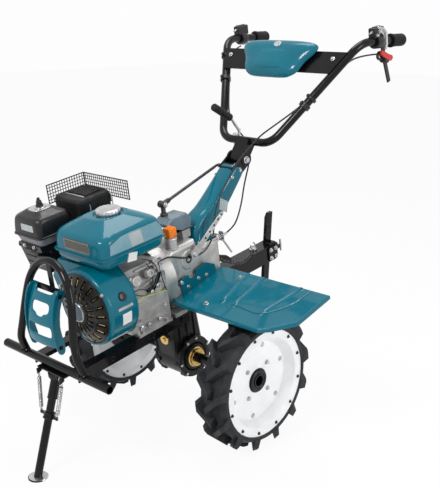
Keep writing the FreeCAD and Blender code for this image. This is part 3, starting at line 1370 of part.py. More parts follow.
# ---------------------------------------------------------------- fenders
def make_fender(name, side):
    """Pressed guard over the wheel: folded rim, ribs and a notched flange along the inner edge."""
    body = new_body("fender_" + name)
    length = S.fender_front - S.fender_rear
    inner, outer, t, lip = S.fender_inner, S.fender_outer, S.fender_sheet, S.fender_lip
    zero = size_of(0)
    cut_x, cut_y = S.fender_cut_x, S.fender_cut_y

    def plan(edge):
        points = [(-edge, inner + edge), (-edge, outer - cut_y), (cut_x * -0.24 - edge, outer - cut_y * 0.64),
                  (-cut_x, outer - edge), (-length + edge, outer - edge), (-length + edge, inner + edge)]
        return [(x, y * side) for x, y in points]
    pad(body, "XY", [plan(zero)], -lip, zero)
    seam = float(inner) * side
    fillet(body, 4.0, lambda e: e.BoundBox.ZMin > -1e-3
           and abs(e.BoundBox.YMax - seam) + abs(e.BoundBox.YMin - seam) > 1e-3)
    pocket(body, "XY", [plan(t)], -lip - 1.0, -t)
    front, rear, high = zero - 45.0, -length + 30.0, S.flange_height
    top = [(front, zero - 2.0), (front, high), (front - 34.0, high), (front - 40.0, high * 0.62),
           (front - 62.0, high * 0.62), (front - 68.0, high), (rear + 30.0, high), (rear, high * 0.5),
           (rear, zero - 2.0)]
    pad(body, "XZ", [top], *between(side, inner, inner + t))
    half = S.rib_width / 2.0

    def rib(start, start_y, end, end_y):
        ends = [(start, start_y - half), (end, end_y - half), (end, end_y + half), (start, start_y + half)]
        return [(-x, (inner + y) * side) for x, y in ends]
    ribs = [rib(S.rib_start, S.rib_inner, S.rib_end, S.rib_inner + S.rib_inner_drift),
            rib(S.rib_start, S.rib_outer, S.rib_end, S.rib_outer + S.rib_outer_drift),
            rib(S.rib_start, S.bead_outer, S.rib_end, S.bead_outer + S.bead_outer_drift)]
    pad(body, "XY", ribs, zero - 1.0, S.rib_height)
    on_wheels(body, at=(S.fender_front, S.fender_z), lean=S.fender_lean)


# ---------------------------------------------------------------- column and head
def make_column():
    """Box column leaning back from a flared foot on the housing deck."""
    body = new_body("column")
    deck = S.deck_z
    foot_half = S.column_flare
    x0, x1 = S.column_foot_x - S.column_foot_half, S.column_foot_x + S.column_foot_half
    plate = [(x0, -foot_half), (x1, -foot_half), (x1, foot_half), (x0, foot_half)]
    pad(body, "XY", [plate], deck, deck + 5.0)
    inside = foot_half - 4.0
    flare = [(x0 + 6.0, -inside), (x1 - 6.0, -inside), (x1 - 6.0, inside), (x0 + 6.0, inside)]
    pad(body, "XY", [flare], deck + 4.0, deck + S.column_foot_rise, draft=-S.column_flare_draft)
    knee = (S.column_foot_x - S.column_knee_back, deck + S.column_knee_rise)
    heel = (S.column_foot_x - S.column_heel_back, deck + S.column_heel_rise)
    side = [(x1 - 16.0, deck + 4.0), knee, (S.column_top_x, S.column_top_z), (S.column_low_x, S.column_low_z),
            heel, (x0 + 16.0, deck + 4.0)]
    half = S.column_half
    pad(body, "XZ", [side], -half, half)

    def is_long_edge(edge):
        flat = edge.BoundBox.YLength < 1e-3 and abs(abs(edge.BoundBox.YMin) - float(half)) < 1e-3
        return is_straight(edge) and flat and edge.BoundBox.ZLength > 60 and edge.BoundBox.XLength > 20
    fillet(body, S.column_round, is_long_edge)
    on_wheels(body)


def head_points():
    """The column's end face and the tangent points of the cheeks round the pivot."""
    face = vec(S.column_low_x - S.column_top_x, 0, S.column_low_z - S.column_top_z)
    face.normalize()
    return face, Vector(face.z, 0, -face.x)


def make_column_head():
    """Two cheeks on the column's upper end, tied by a web, with the pivot bolt through them."""
    body = new_body("column_head")
    face, out = head_points()
    top = (S.column_top_x, S.column_top_z)
    low = (S.column_low_x, S.column_low_z)
    r = S.cheek_radius
    begin = (S.pivot_x - r * face.x, S.pivot_z - r * face.z, r)
    end = (S.pivot_x + r * face.x, S.pivot_z + r * face.z)
    web = [top, (top[0] + out.x * 6.0, top[1] + out.z * 6.0), (low[0] + out.x * 6.0, low[1] + out.z * 6.0),
           low]
    reach = S.cheek_inner + S.cheek_thick
    pad(body, "XZ", [web], -reach, reach)
    for name, side in SIDES:
        pad(body, "XZ", [[top, begin, end, low]], *between(side, S.cheek_inner, reach))
    bolt = reach + 9.0
    pad(body, "XZ", [(S.pivot_x, S.pivot_z, S.pivot_radius)], -bolt, bolt)
    on_wheels(body)


# ---------------------------------------------------------------- handlebar
def bar_points():
    side = [vec(S.grip_x, S.grip_y, S.grip_z), vec(S.bend_x, S.bend_y, S.bend_z),
            vec(S.base_x, S.base_half, S.base_z)]
    return side + [Vector(p.x, -p.y, p.z) for p in reversed(side)]


def grip_direction(side):
    return vec(S.grip_x - S.bend_x, (S.grip_y - S.bend_y) * side, S.grip_z - S.bend_z).normalize()


def on_grip_line(side, x):
    """The point of the tube's centre line beside a grip, at a given x."""
    end = vec(S.grip_x, S.grip_y * side, S.grip_z)
    run = grip_direction(side)
    return end + run * ((x - end.x) / run.x)


def make_handlebar():
    points = bar_points()
    end_cap = 4.0
    points[0] = points[0] - grip_direction(1) * end_cap
    points[-1] = points[-1] - grip_direction(-1) * end_cap
    shape = round_bar(points, [80.0, 60.0, 60.0, 80.0], S.tube_radius, "handlebar_tube")
    on_wheels(feature("handlebar_tube", shape))


def make_socket():
    """Block between the head cheeks: bored for the pivot bolt, cradling the handlebar's base."""
    body = new_body("handlebar_socket")
    r = S.socket_radius
    run = vec(S.base_x - S.pivot_x, 0, S.base_z - S.pivot_z).normalize()
    side = Vector(run.z, 0, -run.x)
    begin = (S.pivot_x + r * side.x, S.pivot_z + r * side.z, -r)
    end = (S.pivot_x - r * side.x, S.pivot_z - r * side.z)
    far = (S.base_x - r * side.x, S.base_z - r * side.z)
    near = (S.base_x + r * side.x, S.base_z + r * side.z)
    half = S.cheek_inner - S.seat_gap
    pad(body, "XZ", [[begin, end, far, near]], -half, half)
    pocket(body, "XZ", [(S.pivot_x, S.pivot_z, S.pivot_radius + S.fit_gap)], -half - 1.0, half + 1.0)
    pocket(body, "XZ", [(S.base_x, S.base_z, S.tube_radius + S.fit_gap)], -half - 1.0, half + 1.0)
    on_wheels(body)


def make_grips():
    grips = []
    for name, side in SIDES:
        end = vec(S.grip_x, S.grip_y * side, S.grip_z)
        back = grip_direction(side) * -1
        outer = Part.makeCylinder(float(S.grip_radius), float(S.grip_length), end, back)
        outer = outer.makeFillet(4.0, outer.Edges[:1])
        bore = Part.makeCylinder(float(S.tube_radius + S.fit_gap), float(S.grip_length), end + back * 4.0,
                                 back)
        grips.append(outer.cut(bore))
    on_wheels(feature("grips", Part.makeCompound(grips)))


def make_hand_levers():
    """A clamp on each side of the handlebar with its lever block on top."""
    pieces = []
    for name, side in SIDES:
        at = on_grip_line(side, float(S.lever_x))
        run = grip_direction(side)
        clamp = Part.makeCylinder(float(S.tube_radius) + 7.0, 26.0, at - run * 13.0, run)
        block = Part.makeBox(46, 24, 30, Vector(at.x - 23, at.y - 12, at.z + 13.0))
        block = block.makeFillet(4.0, [e for e in block.Edges if e.BoundBox.ZMin > at.z + 42])
        bore = Part.makeCylinder(float(S.tube_radius + S.fit_gap), 90.0, at - run * 45.0, run)
        pieces.append(clamp.fuse(block).cut(bore))
    on_wheels(feature("hand_levers", Part.makeCompound(pieces)))


def make_stop_switch():
    """Bracket below the left side of the handlebar with the stop switch and its flat lever."""
    at = on_grip_line(1, float(S.lever_x) - 32.0)
    run = grip_direction(1)
    clamp = Part.makeCylinder(float(S.tube_radius) + 4.0, 12.0, at - run * 6.0, run)
    bracket = Part.makeBox(16, 5, 54, Vector(at.x - 8, at.y - 2.5, at.z - 64))
    switch = Part.makeCylinder(11, 20, Vector(at.x - 4, at.y - 10, at.z - 54), AXES["Y"])
    half = float(S.stop_lever_width) / 2.0
    top, low = Vector(at.x - 2, at.y, at.z - 56), Vector(at.x - 24, at.y, at.z - 128)
    across = AXES["Y"].cross(low - top).normalize() * half
    ring = [top - across, top + across, low + across, low - across]
    blade = Part.Face(Part.makePolygon(ring + ring[:1])).extrude(Vector(0, 5, 0))
    bore = Part.makeCylinder(float(S.tube_radius + S.fit_gap), 60.0, at - run * 30.0, run)
    on_wheels(feature("stop_switch", clamp.fuse([bracket, switch, blade]).cut(bore)))


def leg_point(x, side):
    """The tube's centre line between base and upper bend, at a given x."""
    low, high = vec(S.base_x, S.base_half, S.base_z), vec(S.bend_x, S.bend_y, S.bend_z)
    p = low + (high - low) * ((x - low.x) / (high.x - low.x))
    return Vector(p.x, p.y * side, p.z)


def make_cross_plate():
    """Sheet across the handlebar's legs, with the moulded cover fixed to its front."""
    low, high = leg_point(float(S.dash_low_x), 1), leg_point(float(S.dash_top_x), 1)
    up = Vector(high.x - low.x, 0, high.z - low.z).normalize()
    out = Vector(up.z, 0, -up.x)
    rest = float(S.tube_radius + S.seat_gap)
    ends = [low, high, leg_point(float(S.dash_top_x), -1), leg_point(float(S.dash_low_x), -1)]
    corners = [p + out * rest for p in ends]
    plate = Part.Face(Part.makePolygon(corners + corners[:1])).extrude(out * float(S.dash_sheet))
    on_wheels(feature("cross_plate", plate))
    seat = Vector(low.x, 0, low.z) + out * (rest + float(S.dash_sheet))
    wide, narrow = float(S.cover_top_half), float(S.cover_low_half)
    top, bottom = float(S.cover_top), -float(S.cover_low)
    half_way = (wide + narrow) / 2.0
    right_half = [(narrow, bottom), (half_way, bottom * 0.3), (half_way + 3.0, top * 0.28),
                  (wide, top * 0.72),
                  (wide - 4.0, top * 0.92), (wide * 0.5, top)]
    outline = right_half + [(-y, v) for y, v in reversed(right_half)]
    middle = (top + bottom) / 2.0
    rings = []
    for lift, share in ((0.0, 1.0), (0.6, 0.97), (1.0, 0.8)):
        base = seat + out * (lift * float(S.cover_mould_rise))
        ring = [base + AXES["Y"] * (y * share) + up * (middle + (v - middle) * share) for y, v in outline]
        rings.append(Part.makePolygon(ring + ring[:1]))
    on_wheels(feature("dash_cover", Part.makeLoft(rings, True, True)))


# ---------------------------------------------------------------- gear linkage
def make_shift_linkage():
    """Upright shaft on the selector cover with a knuckle, and the rod back to the column head."""
    foot = vec(S.shaft_x, S.shaft_y, S.housing_top + S.cover_height)
    top = foot + AXES["Z"] * float(S.shaft_height)
    shaft = Part.makeCylinder(5.5, float(S.shaft_height), foot, AXES["Z"])
    knuckle = Part.makeSphere(11.0, top)
    seat = vec(S.column_top_x - 18.0, -S.cheek_inner - S.cheek_thick - S.seat_gap, S.column_top_z + 2.0)
    bend = seat - AXES["Y"] * 15.0
    rod_bar = round_bar([seat, bend, top], [9.0], S.rod_radius, "shift_rod")
    on_wheels(feature("shift_linkage", rod_bar.fuse([shaft, knuckle])))


def make_gear_lever():
    """Cranked lever with a straight grip, held in a tab on the handlebar's base."""
    low = vec(S.base_x, -S.lever_y, S.base_z - S.tube_radius - 3.0)
    points = [low, vec(S.base_x - 18.0, -S.lever_y, S.base_z - 12.0),
              vec(S.base_x - 26.0, -S.lever_y, S.base_z + 20.0),
              vec(S.base_x + S.lever_low_x, -S.lever_y, S.base_z + S.lever_low_z),
              vec(S.base_x + S.lever_top_x, -S.lever_y, S.base_z + S.lever_top_z)]
    bar = round_bar(points, [10.0, 16.0, 20.0], S.rod_radius + 0.5, "gear_lever")
    grip = cylinder_between(points[3] + (points[4] - points[3]) * 0.04, points[4], S.knob_grip_radius)
    clear = Part.makeCylinder(float(S.tube_radius + S.seat_gap), float(S.lever_y) * 2,
                              vec(S.base_x, -S.lever_y * 2.0, S.base_z), AXES["Y"])
    on_wheels(feature("gear_lever", bar.fuse(grip).cut(clear)))


def on_leg(share, side, away, play=S.cable_play):
    """A cable's place on a handlebar leg, a share of the way up and beside the tube."""
    x = float(S.base_x + (S.bend_x - S.base_x) * share)
    across = away.normalize() * float(S.tube_radius + S.cable_radius + play)
    return leg_point(x, side) + across


def make_cables():
    """The throttle cable down the left leg and the column, the clutch cable down the right leg."""
    column_side = S.column_half + S.cable_radius + S.cable_margin
    housing_side = S.housing_half + S.cable_radius + S.cable_margin
    deck, pivot_side = S.deck_z, S.cheek_inner + S.cheek_thick
    under = Vector(-0.78, -0.23, -0.58)
    inward = Vector(-0.3, -0.9, 0.31)
    middle = Vector(-0.3, 0.9, 0.31)
    throttle = [
        vec(S.lever_x - 22.0, S.bend_y - 4.0, S.bend_z - 52.0),
        vec(S.bend_x - 40.0, S.bend_y - 12.0, S.bend_z - 44.0),
        on_leg(0.85, 1, under), on_leg(0.68, 1, under, S.cable_margin * 1.2),
        on_leg(0.5, 1, under + inward, S.cable_margin), on_leg(0.32, 1, inward, S.cable_margin),
        vec(S.base_x - 24.0, S.base_half + 5.0, S.base_z + 54.0),
        vec(S.base_x + 29.0, S.base_half - 26.0, S.base_z + 24.0),
        vec(S.pivot_x + 49.0, pivot_side + 17.0, S.pivot_z + 16.0),
        vec(S.column_top_x + 21.0, column_side + 2.0, S.column_top_z - 8.0),
        vec(S.column_top_x + 59.0, column_side, S.column_top_z - 46.0),
        vec(S.column_top_x + 91.0, column_side + 3.0, S.column_top_z - 78.0),
        vec(S.column_foot_x - 34.0, S.column_flare + 6.0, deck + 60.0),
        vec(S.column_foot_x - 16.0, housing_side, deck + 16.0),
        vec(S.column_foot_x + 15.0, housing_side + 2.0, deck - 14.0),
        vec(S.housing_step_x + 2.0, housing_side + 5.0, deck - 22.0), vec(10.0, housing_side + 5.0,
                                                                          deck - 8.0),
        vec(S.housing_front - 39.0, housing_side + 9.0, deck + 21.0),
        vec(S.housing_front - 5.0, housing_side + 16.0, deck + 25.0),
        vec(S.housing_front + 31.0, housing_side + 18.0, deck + 25.0),
    ]
    clutch = [
        vec(S.lever_x + 14.0, -S.bend_y + 2.0, S.bend_z - 34.0), on_leg(0.85, -1, middle), on_leg(0.66, -1,
                                                                                                  middle),
        on_leg(0.42, -1, middle),
        on_leg(0.2, -1, Vector(-0.5, 0.85, 0.2), S.cable_margin), vec(S.base_x - 48.0, -S.lever_y - 30.0,
                                                                      S.base_z + 18.0),
        vec(S.base_x - 46.0, -S.lever_y + 4.0, S.base_z - 10.0), vec(S.base_x - 28.0, -16.0, S.base_z - 42.0),
        vec(S.pivot_x - 36.0, 8.0, S.pivot_z - 26.0), vec(S.pivot_x + 4.0, 28.0, S.pivot_z - 50.0),
        vec(S.column_low_x + 14.0, S.column_half + 8.0, S.column_low_z - 42.0),
        vec(S.column_low_x + 36.0, S.column_half + 17.0, deck + 72.0),
        vec(S.column_low_x + 72.0, S.column_half + 26.0, deck + 28.0),
        vec(S.column_foot_x - 98.0, housing_side, deck + 8.0),
        vec(S.column_foot_x - 54.0, housing_side + 1.0, deck + 1.0),
    ]
    cables = [round_bar(route, cable_bends(route), S.cable_radius, name)
              for name, route in (("throttle_cable", throttle), ("clutch_cable", clutch))]
    on_wheels(feature("control_cables", Part.makeCompound(cables)))


# ---------------------------------------------------------------- rear hitch and depth stake
def stake_middle(z):
    """Where the leaning stake's centre line is at a height."""
    slope = math.tan(math.radians(float(S.stake_lean)))
    return S.stake_x - (size_of(z) - S.hitch_z) * slope


def make_hitch():
    """Channel drawbar from the housing's rear with a socket for the stake and a pin bore."""
    body = new_body("hitch_bracket")
    half_z = S.hitch_height / 2.0
    low, top = S.hitch_z - half_z, S.hitch_z + half_z
    heel_x, heel_z = S.case_leg_rear - 56.0, S.housing_bottom
    slope = (S.housing_rear - heel_x) / 74.0
    behind = S.stake_width / 2.0 + 11.0
    outline = [(stake_middle(low) - behind, low), (heel_x, low), (heel_x, heel_z),
               (heel_x + slope * (top - heel_z), top), (stake_middle(top) - behind, top)]
    half, wall = S.hitch_half, S.hitch_wall
    pad(body, "XZ", [outline], -half, half)
    front_of_socket = S.stake_x + S.stake_width / 2.0 + 20.0
    channel = [(front_of_socket, -half + wall), (S.housing_rear, -half + wall), (S.housing_rear, half - wall),
               (front_of_socket, half - wall)]
    pocket(body, "XY", [channel], low - 1.0, top - wall)
    reach = S.stake_width / 2.0 + S.seat_gap
    slot = [(stake_middle(low - 2.0) - reach, low - 2.0), (stake_middle(low - 2.0) + reach, low - 2.0),
            (stake_middle(top + 2.0) + reach, top + 2.0), (stake_middle(top + 2.0) - reach, top + 2.0)]
    thick = S.stake_thick / 2.0 + S.seat_gap
    pocket(body, "XZ", [slot], -thick, thick)
    pocket(body, "XY", [(S.hitch_bore_x, size_of(0), S.hitch_pin)], top - wall - 1.0, top + 1.0)
    on_wheels(body)


def make_stake():
    """Flat bar with a chamfered top, leaning back through the hitch socket."""
    body = new_body("depth_stake")
    low, top = S.hitch_z - S.stake_drop, S.hitch_z + S.stake_top
    reach = S.stake_width / 2.0
    outline = [(stake_middle(low) - reach, low), (stake_middle(low) + reach, low),
               (stake_middle(top - 12.0) + reach, top - 12.0),
               (stake_middle(top) + reach - 8.0, top), (stake_middle(top) - reach, top)]
    half = S.stake_thick / 2.0
    pad(body, "XZ", [outline], -half, half)
    on_wheels(body)


# ---------------------------------------------------------------- the whole machine
for wheel_name, wheel_side in SIDES:
    make_rim(wheel_name, wheel_side)
    make_tyre(wheel_name, wheel_side)
    make_hub(wheel_name, wheel_side)
make_axle_gearcase()
make_axle_seals()
make_gear_housing()
make_selector_cover()
make_filler_cap()
make_shift_linkage()
make_crankcase()
make_cylinder_head()
make_fan_housing()
make_recoil_cover()
make_fuel_tank()
make_fuel_cap()
make_air_cleaner()
make_intake()
make_muffler()
make_cage()
make_rails()
make_crossbar()
make_hoop()
make_guard()
make_stand_bracket()
make_stand_leg()
make_stand_springs()
for fender_name, fender_side in SIDES:
    make_fender(fender_name, fender_side)
make_column()
make_column_head()
make_handlebar()
make_socket()
make_grips()
make_hand_levers()
make_stop_switch()
make_cross_plate()
make_gear_lever()
make_cables()
make_hitch()
make_stake()

doc.recompute()
for thing in doc.Objects:
    if "Invalid" in thing.State or "Error" in thing.State:
        raise ValueError(f"{thing.Label} failed: {thing.State}")
for node in nodes:
    if node.Shape.isNull() or not node.Shape.isValid():
        raise ValueError(f"{node.Label} has no valid shape")

os.makedirs("parts", exist_ok=True)
for node in nodes:
    node.Shape.exportStep(f"parts/{node.Label}.step")
print(f"{len(nodes)} sub-parts written")
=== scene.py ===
# %% [markdown]
# # A walk-behind rotary tiller
#
# This lesson dresses a finished CAD model of a two-wheel tiller. The solids already have their
# places, sizes and joints. Blender adds what a drawing office leaves out: paint, rubber and cast
# metal, and the small fasteners, wires, springs and levers of a real machine.
#
# The first cell loads the imported solids. Each one is an object of its own, placed in the world
# with its parents taken away. Nothing that comes from the CAD is moved here.

# %% Load the imported model
import json
import math

import bmesh
import bpy
from mathutils import Matrix, Vector


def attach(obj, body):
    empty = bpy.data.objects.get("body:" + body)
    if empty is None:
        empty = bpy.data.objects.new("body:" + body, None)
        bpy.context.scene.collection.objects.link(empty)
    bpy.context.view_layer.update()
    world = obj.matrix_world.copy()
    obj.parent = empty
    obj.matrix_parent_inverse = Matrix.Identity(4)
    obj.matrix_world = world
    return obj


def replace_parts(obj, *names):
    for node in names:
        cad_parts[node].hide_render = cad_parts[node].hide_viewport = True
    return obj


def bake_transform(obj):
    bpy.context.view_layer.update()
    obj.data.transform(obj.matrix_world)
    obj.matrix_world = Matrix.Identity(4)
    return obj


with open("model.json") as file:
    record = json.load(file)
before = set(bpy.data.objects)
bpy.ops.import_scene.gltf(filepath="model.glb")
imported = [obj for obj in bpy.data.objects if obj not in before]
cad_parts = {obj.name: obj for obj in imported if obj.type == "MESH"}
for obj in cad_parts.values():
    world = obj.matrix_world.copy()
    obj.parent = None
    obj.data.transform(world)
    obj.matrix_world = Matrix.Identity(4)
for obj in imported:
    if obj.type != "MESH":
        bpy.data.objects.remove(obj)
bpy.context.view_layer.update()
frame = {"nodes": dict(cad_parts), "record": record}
solids = frame["nodes"]

# %% [markdown]
# ## Working in the machine's own directions
#
# The tiller was drawn level, in millimetres, with its origin on the wheel axle. Parked, it leans
# nine degrees nose down on its front stand. Placing each bolt in the leaning machine would be slow,
# so every piece below is built level and in millimetres too, and one matrix puts it into place at
# the end. The wheels stand level, so they have a matrix without the lean.

# %% The two matrices
MILLIMETRE = 0.001
PARK_PITCH = math.radians(9.0)
AXLE = Vector((0.06324, 0.0, 0.200))
LEVEL = Matrix.Translation(AXLE) @ Matrix.Scale(MILLIMETRE, 4)
CHASSIS = Matrix.Translation(AXLE) @ Matrix.Rotation(PARK_PITCH, 4, "Y") @ Matrix.Scale(MILLIMETRE, 4)


def on_machine(x, y, z):
    """A point of the leaning machine, in metres, from its level millimetres."""
    return CHASSIS @ Vector((x, y, z))


print("the axle is at", tuple(AXLE))
print("the tank's cap is near", tuple(round(value, 3) for value in on_machine(193, -17, 520)))

# %% [markdown]
# ## The camera
#
# The view is from the front left and a little above, with the engine end nearest. A long lens
# stands a good way off, so that the near wheel doesn't swell, and the shift slides the machine
# sideways in the frame. Turning the camera would do that too, but it would tilt upright lines.

# %% Camera
camera_data = bpy.data.cameras.new("camera")
camera = bpy.data.objects.new("camera", camera_data)
bpy.context.scene.collection.objects.link(camera)
bpy.context.scene.camera = camera
SIGHT_LINE = Vector((-0.6908, -0.6671, -0.2790))
camera.location = (1.71974, 1.6964, 1.1924)
camera.rotation_mode = "QUATERNION"
camera.rotation_quaternion = SIGHT_LINE.to_track_quat("-Z", "Y")
camera_data.lens = 61.35
camera_data.sensor_width = 36.0
camera_data.shift_x = 0.0301
camera_data.shift_y = 0.0252
camera_data.clip_start = 0.05
camera_data.clip_end = 60.0
print("camera", round(camera.location.length, 2), "metres from the machine's middle")

# %% [markdown]
# ## Helpers for nodes
#
# A material is a graph of nodes, and two steps come back in each one: adding a node, and joining
# two sockets. They could be typed out every time, but two short functions keep the recipes below
# easy to read. A third tells the rays that are seen from those that only carry light.

# %% Node helpers
def node_in(material, kind, **values):
    """A new shader node, with some of its settings."""
    made = material.node_tree.nodes.new(kind)
    for name, value in values.items():
        setattr(made, name, value)
    return made


def join(material, start, end):
    """Links an output to an input."""
    material.node_tree.links.new(start, end)


def seen_rays(tree_owner):
    """One where the ray comes from the camera, or off metal or through glass, and else zero."""
    rays = node_in(tree_owner, "ShaderNodeLightPath")
    first = node_in(tree_owner, "ShaderNodeMath", operation="MAXIMUM")
    join(tree_owner, rays.outputs["Is Camera Ray"], first.inputs[0])
    join(tree_owner, rays.outputs["Is Glossy Ray"], first.inputs[1])
    both = node_in(tree_owner, "ShaderNodeMath", operation="MAXIMUM")
    join(tree_owner, first.outputs[0], both.inputs[0])
    join(tree_owner, rays.outputs["Is Transmission Ray"], both.inputs[1])
    return both.outputs[0]


print("node helpers ready")

# %% [markdown]
# ## Floor and light
#
# The machine stands in a pale studio. The floor is a plain sheet that still takes the shadow. For
# rays that come straight from the camera, or off shiny metal, part of its light is its own, so it
# stays near white without flooding the machine with light. The world does the same job behind it.

# %% Floor
FLOOR_GLOW, FLOOR_HALF = 0.93, 14.0


def floor_paint():
    """A matt sheet that glows for the rays that are seen."""
    material = bpy.data.materials.new("studio_floor")
    material.use_nodes = True
    nodes = material.node_tree.nodes
    sheet = nodes["Principled BSDF"]
    sheet.inputs["Base Color"].default_value = (0.85, 0.85, 0.85, 1)
    sheet.inputs["Roughness"].default_value = 0.9
    glow = node_in(material, "ShaderNodeEmission")
    glow.inputs["Color"].default_value = (1, 1, 1, 1)
    glow.inputs["Strength"].default_value = 1.0
    share = node_in(material, "ShaderNodeMath", operation="MULTIPLY")
    share.inputs[1].default_value = FLOOR_GLOW
    join(material, seen_rays(material), share.inputs[0])
    blend = node_in(material, "ShaderNodeMixShader")
    join(material, share.outputs[0], blend.inputs[0])
    join(material, sheet.outputs[0], blend.inputs[1])
    join(material, glow.outputs[0], blend.inputs[2])
    join(material, blend.outputs[0], nodes["Material Output"].inputs["Surface"])
    return material


floor_mesh = bpy.data.meshes.new("floor")
corners = [(x * FLOOR_HALF, y * FLOOR_HALF, 0.0) for x, y in ((-1, -1), (1, -1), (1, 1), (-1, 1))]
floor_mesh.from_pydata(corners, [], [(0, 1, 2, 3)])
floor = bpy.data.objects.new("floor", floor_mesh)
floor.data.materials.append(floor_paint())
bpy.context.scene.collection.objects.link(floor)
print("floor", 2 * FLOOR_HALF, "metres square")

# %% [markdown]
# The world is the light from all round. One even grey could do both of its jobs, but then the
# background and the shade would only move together. With two of them and a chooser in between, the
# background stays white while the shaded side of the machine stays dark.

# %% World
SHADE_LIGHT, WALL_LIGHT = 0.5, 0.985
world = bpy.data.worlds.new("studio")
bpy.context.scene.world = world
world.use_nodes = True
for node in list(world.node_tree.nodes):
    world.node_tree.nodes.remove(node)
soft_sky = node_in(world, "ShaderNodeBackground")
soft_sky.inputs["Color"].default_value = (1.0, 1.0, 1.0, 1)
soft_sky.inputs["Strength"].default_value = SHADE_LIGHT
white_wall = node_in(world, "ShaderNodeBackground")
white_wall.inputs["Color"].default_value = (1.0, 1.0, 1.0, 1)
white_wall.inputs["Strength"].default_value = WALL_LIGHT
chooser = node_in(world, "ShaderNodeMixShader")
join(world, seen_rays(world), chooser.inputs[0])
join(world, soft_sky.outputs[0], chooser.inputs[1])
join(world, white_wall.outputs[0], chooser.inputs[2])
join(world, chooser.outputs[0], node_in(world, "ShaderNodeOutputWorld").inputs["Surface"])
print("the world lights the shade at", SHADE_LIGHT)

# %% [markdown]
# Three soft boxes light the machine: a key lamp in front, a tall one along its side and a broad
# one overhead. Spots or a sun would also do, but a large rectangle gives the soft shadow and the
# long highlight that show how glossy the paint is.

# %% Lamps
def soft_box(name, place, aim, width, height, power):
    """A rectangular studio lamp at place, turned towards aim."""
    lamp = bpy.data.lights.new(name, "AREA")
    lamp.shape = "RECTANGLE"
    lamp.size = width
    lamp.size_y = height
    lamp.energy = power
    holder = bpy.data.objects.new(name, lamp)
    holder.location = place
    holder.rotation_mode = "QUATERNION"
    holder.rotation_quaternion = (Vector(aim) - Vector(place)).to_track_quat("-Z", "Y")
    bpy.context.scene.collection.objects.link(holder)
    print(name, power, "watts")


MIDDLE = (0.0, 0.0, 0.5)
soft_box("key_lamp", (2.6, 0.4, 2.6), MIDDLE, 0.8, 0.8, 53)
soft_box("side_lamp", (-0.6, 3.2, 1.6), MIDDLE, 0.9, 1.4, 35)
soft_box("top_lamp", (-0.4, -0.4, 3.2), MIDDLE, 1.4, 1.4, 38)
bpy.context.scene.view_settings.view_transform = "Standard"

# %% [markdown]
# ## Finishes
#
# A finish is more than a colour. Paint from a spray booth has faint orange peel, rubber is uneven
# in its greys, and a sand casting is grainy. Each finish below starts from the plain shader and
# gets noise in three places: its colour, its roughness, and a shallow bump. The noise is read in
# the object's own coordinates, in metres, so a pattern sticks to its piece when a joint moves.

# %% Soft noise
def cloud(material, scale, detail=3.0):
    """Soft noise over the piece; scale is in blobs for each metre."""
    place = node_in(material, "ShaderNodeTexCoord")
    noise = node_in(material, "ShaderNodeTexNoise")
    noise.inputs["Scale"].default_value = scale
    noise.inputs["Detail"].default_value = detail
    join(material, place.outputs["Object"], noise.inputs["Vector"])
    return noise.outputs["Fac"]


def spread(material, fac, low, high):
    """The noise, stretched so that it runs from low to high."""
    ramp = node_in(material, "ShaderNodeMapRange")
    ramp.inputs["From Min"].default_value = 0.3
    ramp.inputs["From Max"].default_value = 0.7
    ramp.inputs["To Min"].default_value = low
    ramp.inputs["To Max"].default_value = high
    join(material, fac, ramp.inputs["Value"])
    return ramp.outputs["Result"]


print("soft noise ready")

# %% [markdown]
# The finish maker plugs that noise in three times. Its other numbers are constants, and they are
# set on the shader's own sockets. A group of nodes could hold the recipe too, but a function can
# be read from top to bottom.

# %% The finish maker
# A Mix node has sockets for each kind of data. These are the numbers of its colour sockets.
COLOUR_A, COLOUR_B, COLOUR_OUT = 6, 7, 2
FINISH = {}


def finish(name, dark, pale, patch=14.0, rough=(0.3, 0.4), rough_scale=60.0, grain=900.0, depth=0.00004,
           metallic=0.0, coat=0.0, shine=0.5):
    """Adds a material to the shelf: two near colours, a range of roughness and a fine bump."""
    material = bpy.data.materials.new(name)
    material.use_nodes = True
    shader = material.node_tree.nodes["Principled BSDF"]
    colours = node_in(material, "ShaderNodeMix", data_type="RGBA")
    colours.inputs[COLOUR_A].default_value = (*dark, 1)
    colours.inputs[COLOUR_B].default_value = (*pale, 1)
    join(material, spread(material, cloud(material, patch), 0.0, 1.0), colours.inputs[0])
    join(material, colours.outputs[COLOUR_OUT], shader.inputs["Base Color"])
    join(material, spread(material, cloud(material, rough_scale), *rough), shader.inputs["Roughness"])
    bump = node_in(material, "ShaderNodeBump")
    bump.inputs["Strength"].default_value = 1.0
    bump.inputs["Distance"].default_value = depth
    join(material, cloud(material, grain, 2.0), bump.inputs["Height"])
    join(material, bump.outputs["Normal"], shader.inputs["Normal"])
    shader.inputs["Metallic"].default_value = metallic
    shader.inputs["Coat Weight"].default_value = coat
    shader.inputs["Coat Roughness"].default_value = 0.06
    shader.inputs["Specular IOR Level"].default_value = shine
    FINISH[name] = material


print("finish maker ready")

# %% [markdown]
# The machine has sixteen main finishes. Each could be built by hand in the shader editor, but
# here each is one line of numbers: its darker and its paler colour, how large its patches are, how
# rough it is, and how fine and deep its grain. Painted and moulded pieces get a clear coat too.

